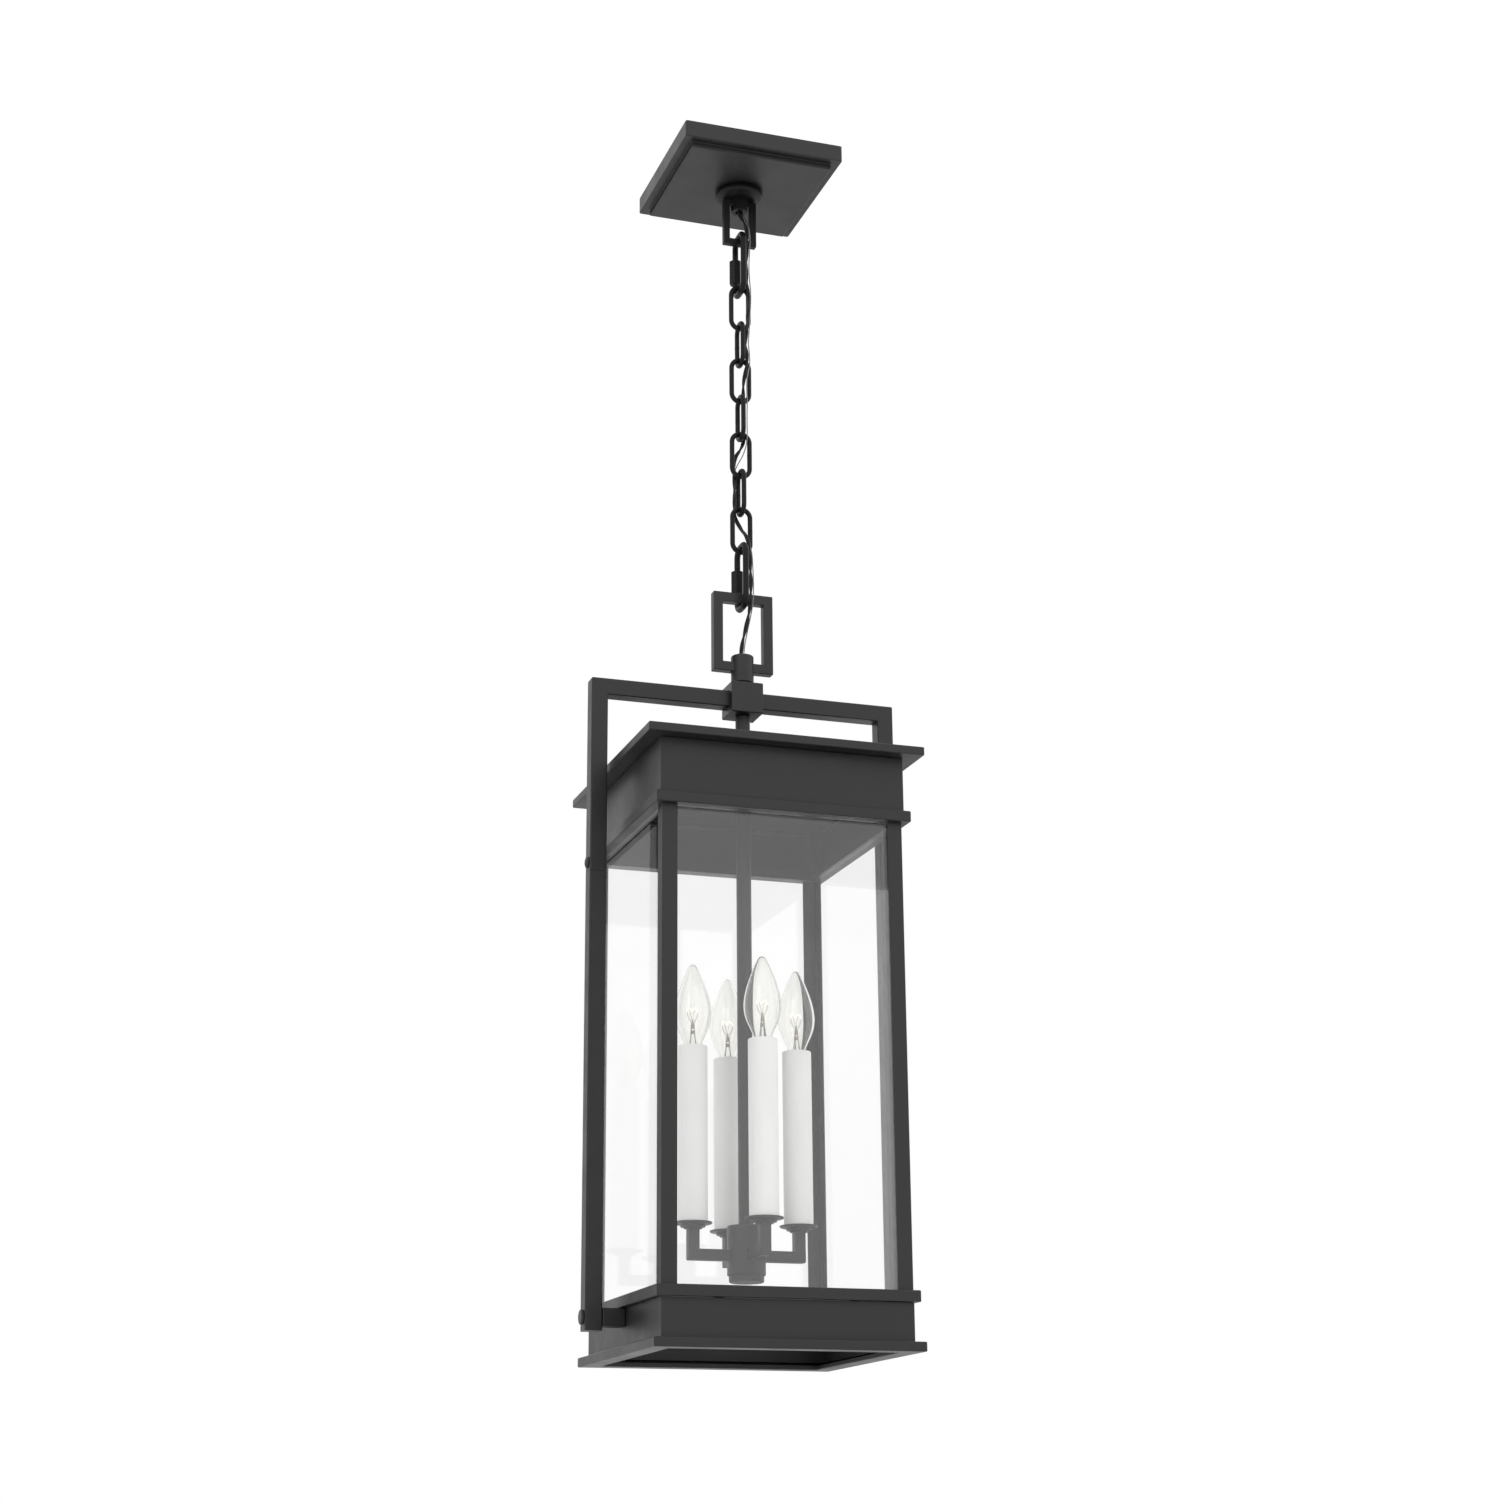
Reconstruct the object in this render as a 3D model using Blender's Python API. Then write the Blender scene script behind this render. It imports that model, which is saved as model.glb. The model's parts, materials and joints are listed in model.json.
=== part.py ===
"""Hanging square lantern on a seven-link chain: ceiling set, chain, yoke, cage and four-candle cluster.

Metres, +Z up. The origin is the middle of the canopy on the ceiling plane, and the lantern hangs
down to negative Z. +X runs to the right along the front pane and +Y runs away from the front.
"""

import math

import bmesh
import bpy
from mathutils import Matrix, Vector

MM = 0.001
SIDES = (("left", -1), ("right", 1))
GAP = 0.3 * MM  # clearance between two pieces that touch
EDGE = 0.8 * MM  # rounding of the drawn bar and tube edges
ROUND = 24  # sides of a turned piece
WIRE_SIDES = 8  # sides of a bent wire

# Ceiling set
STRIP_SIZE = (105 * MM, 20 * MM, 2.5 * MM)
STRIP_SLOT_X = 38 * MM
STRIP_SLOT_RUN = 5 * MM  # half of the straight run of a slot
SCREW_R = 2 * MM
SCREW_HEAD_R = 4 * MM
CEILING_SCREW_RISE = 8 * MM
GROUND_SCREW_X = 24 * MM
NIPPLE_R = 4.85 * MM
NIPPLE_BORE_R = 3.4 * MM
NIPPLE_TOP, NIPPLE_BOTTOM = 3 * MM, -26 * MM
LOCKNUT_AF, LOCKNUT_HEIGHT = 14 * MM, 4 * MM
CANOPY_HALF = 82.5 * MM
CANOPY_SKIRT = 17 * MM
CANOPY_STEP_IN = 9.3 * MM
CANOPY_STEP = 6 * MM
SHEET = 1.2 * MM
COLLAR_R, COLLAR_TOP_R, COLLAR_FOOT_R = 24 * MM, 21 * MM, 14.5 * MM
COLLAR_HEIGHT = 9.2 * MM
STUB_R = 8.5 * MM
STUB_BORE_R = 4.2 * MM
STUB_TOP, STUB_BOTTOM = -10 * MM, -45.5 * MM
CANOPY_LOOP_BAR = 6.5 * MM
CANOPY_LOOP_HALF = 14.1 * MM  # from the axis to the middle of a side bar
CANOPY_LOOP_TOP, CANOPY_LOOP_PIVOT = -36 * MM, -80.5 * MM

# Chain
QUICK_WIRE = 6 * MM
QUICK_LENGTH, QUICK_WIDTH = 70 * MM, 32 * MM
QUICK_CORNER = 9 * MM  # radius of the wire's middle line at a corner
QUICK_GAP_LOW, QUICK_GAP_HIGH = -14 * MM, -9 * MM  # the opening that the sleeve closes
SLEEVE_AF, SLEEVE_LENGTH, SLEEVE_DROP = 11 * MM, 26 * MM, 3 * MM
UPPER_QUICK_TOP = -70.2 * MM
LOWER_QUICK_TOP = -409.8 * MM
LINK_WIRE = 4.8 * MM
LINK_LENGTH, LINK_WIDTH = 50.4 * MM, 23 * MM
LINK_COUNT = 7
LINK_PITCH = 40.3 * MM
FIRST_LINK_TOP = -128.9 * MM

# Lantern loop, cube and yoke
LOOP_BAR = 9.5 * MM
LOOP_HALF = 25.45 * MM
LOOP_TOP, LOOP_BOTTOM = -463.4 * MM, -544 * MM
COUPLING_R, COUPLING_TOP, COUPLING_BOTTOM = 11 * MM, -527 * MM, -555 * MM
NECK_R = 9.5 * MM
TENON_R, TENON_DEPTH = 6 * MM, 8 * MM  # the coupling's foot inside the cube
CORD_BORE_R = 4.5 * MM
CUBE_HALF, CUBE_TOP, CUBE_BOTTOM = 15.9 * MM, -557.6 * MM, -588.3 * MM
YOKE_TUBE, YOKE_WALL = 16 * MM, 1.5 * MM
YOKE_HALF = 144 * MM  # from the axis to the middle of a leg
YOKE_TOP, YOKE_SEAM, YOKE_FOOT = -565.5 * MM, -753 * MM, -1169 * MM
SPIGOT_HALF, SPIGOT_RISE = 6.2 * MM, 18 * MM
UPPER_SCREW_Z, LOWER_SCREW_Z = -744.8 * MM, -1157 * MM
STANDOFF_INNER, STANDOFF_HEIGHT = 115.3 * MM, 16 * MM
STEM_R, STEM_FOOT = 7 * MM, -1080 * MM

# Cage
ROOF_HALF, ROOF_TOP, ROOF_BOTTOM = 132.5 * MM, -646 * MM, -654 * MM
ROOF_RETURN = 100 * MM  # inner half width of the roof's turned-under edge
CAP_HALF, CAP_BOTTOM, CAP_CEILING = 116.8 * MM, -705.1 * MM, -667 * MM
CAP_SHEET = 1.5 * MM
TRIM_HALF, TRIM_INNER, TRIM_TOP, TRIM_BOTTOM = 121.8 * MM, 107 * MM, -705.4 * MM, -715.8 * MM
POST_OUTER, POST_LEG, POST_SHEET = 114.8 * MM, 14.3 * MM, 1.5 * MM
BASE_TRIM_HALF, BASE_TRIM_INNER = 120 * MM, 106 * MM
BASE_TRIM_TOP, BASE_TRIM_BOTTOM = -1138.5 * MM, -1148.5 * MM
BASE_HALF, BASE_SHEET = 115 * MM, 1.6 * MM
FLANGE_HALF, FLANGE_INNER = 123.2 * MM, 105 * MM
FLANGE_TOP, FLANGE_BOTTOM = -1182.5 * MM, -1191 * MM
GLASS_OUTER, GLASS_THICK = 113 * MM, 3 * MM
GLASS_TOP, GLASS_BOTTOM = -716.1 * MM, -1138.2 * MM

# Candle cluster
ARM_REACH, ARM_BAR = 50.5 * MM, 10 * MM
ARM_Z, ARM_TOP = -1099.75 * MM, -1077.3 * MM
HUB_R, HUB_TOP, HUB_BOTTOM = 17.5 * MM, -1072.8 * MM, -1117.3 * MM
SPLICE_ROOM_R = 12 * MM
HUB_CAP_R, HUB_CAP_HEIGHT, HUB_CAP_LIP = 16 * MM, 6 * MM, 3 * MM
CANDLE_R, CANDLE_BORE_R, CANDLE_TOP = 13.5 * MM, 12.3 * MM, -911 * MM
CANDLE_SEAT = 3.5 * MM  # from the dish's underside to the sleeve's foot
CLUSTER = {"front": (0, -1), "back": (0, 1), "left": (-1, 0), "right": (1, 0)}

# Wires
CORD_R, GROUND_R = 1.7 * MM, 0.7 * MM

FINISHES = {
    "black": ((0.035, 0.035, 0.037, 1.0), 0.8, 0.45),
    "zinc": ((0.62, 0.63, 0.64, 1.0), 1.0, 0.35),
    "white": ((0.86, 0.85, 0.82, 1.0), 0.0, 0.5),
    "brass": ((0.7, 0.55, 0.28, 1.0), 1.0, 0.35),
    "wire": ((0.02, 0.02, 0.022, 1.0), 0.0, 0.5),
    "glass": ((0.93, 0.96, 0.96, 1.0), 0.0, 0.03),
}


def clear_scene():
    for item in list(bpy.data.objects):
        bpy.data.objects.remove(item, do_unlink=True)


def finish(item, kind):
    """Gives the object a Principled material of its own."""
    colour, metallic, roughness = FINISHES[kind]
    material = bpy.data.materials.new(item.name + "_finish")
    material.use_nodes = True
    shader = material.node_tree.nodes["Principled BSDF"]
    shader.inputs["Base Color"].default_value = colour
    shader.inputs["Metallic"].default_value = metallic
    shader.inputs["Roughness"].default_value = roughness
    if kind == "glass":
        shader.inputs["Transmission Weight"].default_value = 1.0
    material.diffuse_color = colour
    item.data.materials.append(material)


def add_object(name, verts, faces, kind, smooth=False):
    """A mesh object with its faces turned outward."""
    mesh = bpy.data.meshes.new(name)
    mesh.from_pydata([tuple(v) for v in verts], [], faces)
    work = bmesh.new()
    work.from_mesh(mesh)
    bmesh.ops.recalc_face_normals(work, faces=work.faces)
    work.to_mesh(mesh)
    work.free()
    item = bpy.data.objects.new(name, mesh)
    bpy.context.scene.collection.objects.link(item)
    for face in mesh.polygons:
        face.use_smooth = smooth
    finish(item, kind)
    return item


def add_helper(name, verts, faces):
    """A guide body for a Boolean, left out of the model."""
    item = add_object(name, verts, faces, "zinc")
    item.hide_render = True
    item.display_type = "WIRE"
    return item


def boolean(item, helper, operation):
    modifier = item.modifiers.new(helper.name, "BOOLEAN")
    modifier.operation = operation
    modifier.solver = "EXACT"
    modifier.object = helper


def bevel(item, width, segments):
    modifier = item.modifiers.new("edges", "BEVEL")
    modifier.width = width
    modifier.segments = segments
    modifier.limit_method = "ANGLE"
    modifier.angle_limit = math.radians(40)


def box_mesh(low, high):
    verts = [(x, y, z) for x in (low[0], high[0]) for y in (low[1], high[1]) for z in (low[2], high[2])]
    faces = [(0, 1, 3, 2), (4, 6, 7, 5), (0, 4, 5, 1), (2, 3, 7, 6), (0, 2, 6, 4), (1, 5, 7, 3)]
    return verts, faces


def turned_mesh(profile, centre=(0, 0), sides=ROUND, start=0.0, closed=False):
    """A solid of revolution about a vertical axis from (radius, z) points.

    A point on the axis becomes a pole. With closed=True the profile is a loop clear of the axis.
    """
    verts, rings, faces = [], [], []
    for radius, z in profile:
        if radius < 1e-6:
            rings.append([len(verts)])
            verts.append((centre[0], centre[1], z))
            continue
        rings.append([len(verts) + k for k in range(sides)])
        for k in range(sides):
            angle = start + 2 * math.pi * k / sides
            verts.append((centre[0] + radius * math.cos(angle), centre[1] + radius * math.sin(angle), z))
    pairs = list(zip(rings, rings[1:]))
    if closed:
        pairs.append((rings[-1], rings[0]))
    for one, two in pairs:
        for k in range(sides):
            after = (k + 1) % sides
            face = [one[k % len(one)], one[after % len(one)], two[after % len(two)], two[k % len(two)]]
            unique = list(dict.fromkeys(face))
            if len(unique) > 2:
                faces.append(unique)
    return verts, faces


def square_mesh(profile, closed=True):
    """A square ring or square solid from (half width, z) points."""
    return turned_mesh(
        [(half * math.sqrt(2), z) for half, z in profile], sides=4, start=math.pi / 4, closed=closed
    )


def cylinder_mesh(radius, low, high, centre=(0, 0), sides=ROUND):
    return turned_mesh([(0, low), (radius, low), (radius, high), (0, high)], centre, sides)


def along_x(mesh, z, y=0.0):
    """Lays a vertical body along +X at height z."""
    verts, faces = mesh
    return [(v[2], v[1] + y, z - v[0]) for v in verts], faces


def swept_mesh(path, section, across, out, side, closed=True):
    """A bar or wire bent along a flat path.

    path holds (u, v) points; a section point (a, b) lies a outward in the path's plane and b along
    across. out and side are the directions of u and v.
    """
    out, side, across = Vector(out), Vector(side), Vector(across)
    count = len(path)
    verts, faces = [], []
    for k in range(count):
        here = Vector(path[k])
        before = Vector(path[k - 1]) if closed or k else here * 2 - Vector(path[1])
        after = Vector(path[(k + 1) % count]) if closed or k < count - 1 else here * 2 - Vector(path[k - 1])
        into, away = (here - before).normalized(), (after - here).normalized()
        normal_in, normal_out = Vector((into.y, -into.x)), Vector((away.y, -away.x))
        miter = (normal_in + normal_out).normalized()
        stretch = 1 / max(miter.dot(normal_out), 0.3)
        for a, b in section:
            flat = here + miter * (a * stretch)
            verts.append(out * flat.x + side * flat.y + across * b)
    size = len(section)
    for k in range(count if closed else count - 1):
        for j in range(size):
            one, two = k * size, ((k + 1) % count) * size
            nxt = (j + 1) % size
            faces.append((one + j, one + nxt, two + nxt, two + j))
    if not closed:
        faces.append(tuple(range(size)))
        faces.append(tuple(range((count - 1) * size, count * size)))
    return verts, faces


def round_section(radius, sides=WIRE_SIDES):
    step = 2 * math.pi / sides
    return [(radius * math.cos(k * step), radius * math.sin(k * step)) for k in range(sides)]


def square_section(half, corner=0.0):
    """A square bar section; with a corner size its four edges are cut at 45 degrees."""
    if corner <= 0:
        return [(half, half), (-half, half), (-half, -half), (half, -half)]
    near = half - corner
    return [
        (half, near), (near, half), (-near, half), (-half, near),
        (-half, -near), (-near, -half), (near, -half), (half, -near),
    ]


def rounded_path(half_u, half_v, corner, steps):
    """The middle line of a rounded rectangle about (0, 0), clockwise so that outward is positive."""
    points = []
    for quarter in range(4):
        cu = (half_u - corner) * (1, 1, -1, -1)[quarter]
        cv = (half_v - corner) * (1, -1, -1, 1)[quarter]
        for k in range(steps + 1):
            angle = math.pi / 2 - (quarter + k / steps) * math.pi / 2
            points.append((cu + corner * math.cos(angle), cv + corner * math.sin(angle)))
    merged = [points[0]]
    for point in points[1:]:
        if (Vector(point) - Vector(merged[-1])).length > 1e-6:
            merged.append(point)
    if (Vector(merged[0]) - Vector(merged[-1])).length < 1e-6:
        merged.pop()
    return merged


def shifted(mesh, offset):
    return [tuple(Vector(v) + Vector(offset)) for v in mesh[0]], mesh[1]


def hex_mesh(across_flats, low, high, bore, centre=(0, 0)):
    """A hexagon nut with its corners taken off, and the cylinder that bores it."""
    radius = across_flats / math.sqrt(3)
    chamfer = 0.8 * MM
    profile = [
        (0, low), (radius - chamfer, low), (radius, low + chamfer),
        (radius, high - chamfer), (radius - chamfer, high), (0, high),
    ]
    return turned_mesh(profile, centre, 6), cylinder_mesh(bore, low - MM, high + MM, centre, 16)


# ---------------------------------------------------------------- ceiling set


def make_crossbar():
    length, width, thick = STRIP_SIZE
    body = box_mesh((-length / 2, -width / 2, -thick), (length / 2, width / 2, 0))
    strip = add_object("ceiling_crossbar", *body, "zinc")
    hole = add_helper("strip_hole", *cylinder_mesh(NIPPLE_R + GAP, -thick - MM, MM))
    boolean(strip, hole, "DIFFERENCE")
    ground = cylinder_mesh(SCREW_R + GAP, -thick - MM, MM, (GROUND_SCREW_X, 0), 12)
    boolean(strip, add_helper("strip_ground_hole", *ground), "DIFFERENCE")
    for name, side in SIDES:
        verts, faces = cylinder_mesh(SCREW_R + GAP, -thick - MM, MM, (0, 0), 16)
        slot = []
        for x, y, z in verts:
            spread = math.copysign(STRIP_SLOT_RUN, x) if abs(x) > 1e-7 else 0.0
            slot.append((x + side * STRIP_SLOT_X + spread, y, z))
        boolean(strip, add_helper("strip_slot_" + name, slot, faces), "DIFFERENCE")


def make_pan_screw(name, centre, top, head_top, head_r=SCREW_HEAD_R, kind="zinc"):
    """A vertical screw whose domed head is below head_top and whose shank rises to top."""
    profile = [
        (0, head_top - 2.6 * MM), (head_r * 0.55, head_top - 2.4 * MM), (head_r * 0.9, head_top - 1.6 * MM),
        (head_r, head_top - 0.8 * MM), (head_r, head_top), (SCREW_R, head_top),
        (SCREW_R, top - MM), (SCREW_R * 0.6, top), (0, top),
    ]
    add_object(name, *turned_mesh(profile, centre, 16), kind, smooth=True)


def make_ceiling_screws():
    below = -STRIP_SIZE[2] - GAP
    make_pan_screw("crossbar_screw_left", (-STRIP_SLOT_X, 0), CEILING_SCREW_RISE, below)
    make_pan_screw("crossbar_screw_right", (STRIP_SLOT_X, 0), CEILING_SCREW_RISE, below)
    make_pan_screw("ground_screw", (GROUND_SCREW_X, 0), 2 * MM, below, 3.4 * MM, "brass")


def make_nipple():
    profile = [
        (NIPPLE_BORE_R, NIPPLE_BOTTOM), (NIPPLE_R, NIPPLE_BOTTOM),
        (NIPPLE_R, NIPPLE_TOP), (NIPPLE_BORE_R, NIPPLE_TOP),
    ]
    add_object("threaded_nipple", *turned_mesh(profile, closed=True), "zinc")
    high = -STRIP_SIZE[2] - GAP
    body, bore = hex_mesh(LOCKNUT_AF, high - LOCKNUT_HEIGHT, high, NIPPLE_R + GAP)
    nut = add_object("nipple_locknut", *body, "zinc")
    boolean(nut, add_helper("locknut_bore", *bore), "DIFFERENCE")


def make_canopy():
    inner = CANOPY_HALF - CANOPY_STEP_IN
    bottom = -CANOPY_SKIRT - CANOPY_STEP
    cut = 0.5 * MM
    profile = [
        (0, bottom), (inner - cut, bottom), (inner, bottom + cut), (inner, -CANOPY_SKIRT),
        (CANOPY_HALF - cut, -CANOPY_SKIRT), (CANOPY_HALF, -CANOPY_SKIRT + cut), (CANOPY_HALF, 0),
        (CANOPY_HALF - SHEET, 0), (CANOPY_HALF - SHEET, -CANOPY_SKIRT + SHEET),
        (inner - SHEET, -CANOPY_SKIRT + SHEET), (inner - SHEET, bottom + SHEET), (0, bottom + SHEET),
    ]
    shell = add_object("canopy_shell", *square_mesh(profile, closed=False), "black")
    hole = add_helper("canopy_hole", *cylinder_mesh(STUB_R + GAP, bottom - MM, bottom + 3 * MM))
    boolean(shell, hole, "DIFFERENCE")


def make_collar():
    top = -CANOPY_SKIRT - CANOPY_STEP - GAP
    bore = STUB_R + GAP
    foot = top - COLLAR_HEIGHT
    profile = [
        (bore, top), (COLLAR_TOP_R, top), (COLLAR_R, top - 1.7 * MM), (COLLAR_R, foot + 4 * MM),
        (COLLAR_R - 2 * MM, foot + 2 * MM), (COLLAR_FOOT_R, foot), (bore, foot),
    ]
    add_object("collar_ring", *turned_mesh(profile, sides=32, closed=True), "black")


def make_canopy_loop():
    half = CANOPY_LOOP_BAR / 2
    stub = add_object(
        "canopy_loop",
        *turned_mesh(
            [
                (0, STUB_BOTTOM), (STUB_R - EDGE, STUB_BOTTOM), (STUB_R, STUB_BOTTOM + EDGE),
                (STUB_R, STUB_TOP), (0, STUB_TOP),
            ]
        ),
        "black",
    )
    middle = (CANOPY_LOOP_TOP + CANOPY_LOOP_PIVOT) / 2
    tall = (CANOPY_LOOP_TOP - CANOPY_LOOP_PIVOT) / 2
    path = rounded_path(CANOPY_LOOP_HALF, tall, 1.5 * MM, 1)
    bars = swept_mesh(path, square_section(half, 1.2 * MM), (0, 1, 0), (1, 0, 0), (0, 0, 1))
    boolean(stub, add_helper("canopy_loop_bars", *shifted(bars, (0, 0, middle))), "UNION")
    bore = cylinder_mesh(STUB_BORE_R, STUB_BOTTOM - MM, STUB_TOP + MM)
    boolean(stub, add_helper("stub_cord_bore", *bore), "DIFFERENCE")
    socket = cylinder_mesh(NIPPLE_R + GAP, NIPPLE_BOTTOM - GAP, STUB_TOP + MM)
    boolean(stub, add_helper("stub_nipple_bore", *socket), "DIFFERENCE")


# ---------------------------------------------------------------------- chain


def make_quick_link(name, top):
    """A wire link in the YZ plane, open on its +Y side, and the hexagon sleeve over the opening."""
    middle = top - QUICK_LENGTH / 2
    half_y = (QUICK_WIDTH - QUICK_WIRE) / 2
    half_z = (QUICK_LENGTH - QUICK_WIRE) / 2
    path = rounded_path(half_y, half_z, QUICK_CORNER, 5)
    side = [k for k in range(len(path)) if abs(path[k][0] - half_y) < 1e-6]
    path = path[side[1]:] + path[:side[1]]
    path = [(half_y, QUICK_GAP_LOW)] + path + [(half_y, QUICK_GAP_HIGH)]
    wire = swept_mesh(path, round_section(QUICK_WIRE / 2), (1, 0, 0), (0, 1, 0), (0, 0, 1), closed=False)
    add_object(name, *shifted(wire, (0, 0, middle)), "black", smooth=True)
    low = middle - SLEEVE_DROP - SLEEVE_LENGTH / 2
    body, bore = hex_mesh(SLEEVE_AF, low, low + SLEEVE_LENGTH, QUICK_WIRE / 2 + GAP, (0, half_y))
    sleeve = add_object(name + "_sleeve", *body, "black")
    boolean(sleeve, add_helper(name + "_sleeve_bore", *bore), "DIFFERENCE")


def make_chain_link(number):
    """An oval link: odd ones lie in the XZ plane and even ones in the YZ plane."""
    top = FIRST_LINK_TOP - (number - 1) * LINK_PITCH
    half_u = (LINK_WIDTH - LINK_WIRE) / 2
    half_v = (LINK_LENGTH - LINK_WIRE) / 2
    path = rounded_path(half_u, half_v, half_u, 4)
    section = round_section(LINK_WIRE / 2)
    if number % 2:
        wire = swept_mesh(path, section, (0, 1, 0), (1, 0, 0), (0, 0, 1))
    else:
        wire = swept_mesh(path, section, (1, 0, 0), (0, 1, 0), (0, 0, 1))
    add_object(f"chain_link_{number}", *shifted(wire, (0, 0, top - LINK_LENGTH / 2)), "black", smooth=True)


# ------------------------------------------------------ lantern loop and yoke


def make_lantern_loop():
    half = LOOP_BAR / 2
    coupling = add_object(
        "lantern_loop",
        *turned_mesh(
            [
                (0, CUBE_TOP - TENON_DEPTH), (TENON_R, CUBE_TOP - TENON_DEPTH), (TENON_R, CUBE_TOP + GAP),
                (NECK_R, CUBE_TOP + GAP), (NECK_R, COUPLING_BOTTOM), (COUPLING_R, COUPLING_BOTTOM),
                (COUPLING_R, COUPLING_TOP - 2 * MM), (COUPLING_R - 0.6 * MM, COUPLING_TOP - 0.6 * MM),
                (COUPLING_R - 2 * MM, COUPLING_TOP), (0, COUPLING_TOP),
            ]
        ),
        "black",
    )
    middle = (LOOP_TOP + LOOP_BOTTOM) / 2
    tall = (LOOP_TOP - LOOP_BOTTOM) / 2 - half
    path = rounded_path(LOOP_HALF, tall, 1.5 * MM, 1)
    bars = swept_mesh(path, square_section(half, EDGE), (0, 1, 0), (1, 0, 0), (0, 0, 1))
    boolean(coupling, add_helper("lantern_loop_bars", *shifted(bars, (0, 0, middle))), "UNION")
    bore = cylinder_mesh(CORD_BORE_R, CUBE_TOP - TENON_DEPTH - MM, COUPLING_TOP + MM)
    boolean(coupling, add_helper("coupling_bore", *bore), "DIFFERENCE")


def make_hub_block():
    body = box_mesh((-CUBE_HALF, -CUBE_HALF, CUBE_BOTTOM), (CUBE_HALF, CUBE_HALF, CUBE_TOP))
    cube = add_object("hub_block", *body, "black")
    bevel(cube, EDGE, 2)
    tunnel_half = YOKE_TUBE / 2 + GAP
    tunnel_z = YOKE_TOP - YOKE_TUBE / 2
    tunnel = box_mesh(
        (-CUBE_HALF - MM, -tunnel_half, tunnel_z - tunnel_half),
        (CUBE_HALF + MM, tunnel_half, tunnel_z + tunnel_half),
    )
    boolean(cube, add_helper("cube_tunnel", *tunnel), "DIFFERENCE")
    bore = cylinder_mesh(TENON_R + GAP, CUBE_BOTTOM - MM, CUBE_TOP + MM)
    boolean(cube, add_helper("cube_bore", *bore), "DIFFERENCE")


def yoke_path(half, top, foot):
    return [(-half, foot), (-half, top), (half, top), (half, foot)]


def square_tube(path, half, corner):
    """A square bar along an open path in the XZ plane."""
    return swept_mesh(path, square_section(half, corner), (0, 1, 0), (1, 0, 0), (0, 0, 1), closed=False)


def leg_pin(name, x, z):
    """The cutter for a screw hole across a leg."""
    reach = YOKE_TUBE / 2 + MM
    return add_helper(name, *along_x(cylinder_mesh(SCREW_R + GAP, x - reach, x + reach, sides=12), z))


def make_yoke():
    """The hollow top bar with its two short drops, and a leg plugged into each."""
    middle_z = YOKE_TOP - YOKE_TUBE / 2
    outer = YOKE_TUBE / 2
    path = yoke_path(YOKE_HALF, middle_z, YOKE_SEAM)
    bar = add_object("yoke_crossbar", *square_tube(path, outer, EDGE), "black")
    hollow = square_tube(yoke_path(YOKE_HALF, middle_z, YOKE_SEAM - MM), outer - YOKE_WALL, 0)
    boolean(bar, add_helper("yoke_hollow", *hollow), "DIFFERENCE")
    cord_way = cylinder_mesh(TENON_R + GAP, YOKE_TOP - YOKE_TUBE - MM, YOKE_TOP + MM)
    boolean(bar, add_helper("yoke_cord_way", *cord_way), "DIFFERENCE")
    for name, side in SIDES:
        upper_cut = leg_pin("upper_pin_" + name, side * YOKE_HALF, UPPER_SCREW_Z)
        boolean(bar, upper_cut, "DIFFERENCE")
        make_yoke_leg(name, side * YOKE_HALF, upper_cut)


def make_yoke_leg(name, x, upper_cut):
    """A tube closed at its foot, with a thinner hollow spigot on top."""
    outer, top = YOKE_TUBE / 2, YOKE_SEAM - GAP
    leg = add_object("yoke_leg_" + name, *square_tube([(x, YOKE_FOOT), (x, top)], outer, EDGE), "black")
    plug = SPIGOT_HALF
    spigot = box_mesh((x - plug, -plug, top - 4 * MM), (x + plug, plug, top + SPIGOT_RISE))
    boolean(leg, add_helper("spigot_" + name, *spigot), "UNION")
    way = outer - YOKE_WALL
    core = box_mesh((x - way, -way, YOKE_FOOT + 2 * MM), (x + way, way, top - 6 * MM))
    boolean(leg, add_helper("leg_core_" + name, *core), "DIFFERENCE")
    way = plug - YOKE_WALL
    core = box_mesh((x - way, -way, top - 8 * MM), (x + way, way, top + SPIGOT_RISE + MM))
    boolean(leg, add_helper("spigot_core_" + name, *core), "DIFFERENCE")
    boolean(leg, upper_cut, "DIFFERENCE")
    boolean(leg, leg_pin("lower_pin_" + name, x, LOWER_SCREW_Z), "DIFFERENCE")


def make_side_screw(name, side, z, head_r, head_thick, shank_inner):
    """A horizontal screw in a leg: the head is outside the leg and the shank points inward."""
    face = YOKE_HALF + YOKE_TUBE / 2 + GAP
    profile = [
        (0, shank_inner), (SCREW_R * 0.6, shank_inner), (SCREW_R, shank_inner + MM), (SCREW_R, face),
        (head_r, face), (head_r, face + head_thick * 0.6), (head_r * 0.8, face + head_thick * 0.92),
        (head_r * 0.45, face + head_thick), (0, face + head_thick),
    ]
    verts, faces = along_x(turned_mesh(profile, sides=20), z)
    add_object(name, [(v[0] * side, v[1], v[2]) for v in verts], faces, "black")


def make_leg_screws():
    upper_tip, lower_tip = YOKE_HALF + 2.5 * MM, BASE_HALF - 6 * MM
    for name, side in SIDES:
        make_side_screw("leg_screw_upper_" + name, side, UPPER_SCREW_Z, 5.5 * MM, 2.3 * MM, upper_tip)
        make_side_screw("leg_screw_lower_" + name, side, LOWER_SCREW_Z, 6.5 * MM, 2.4 * MM, lower_tip)


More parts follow.
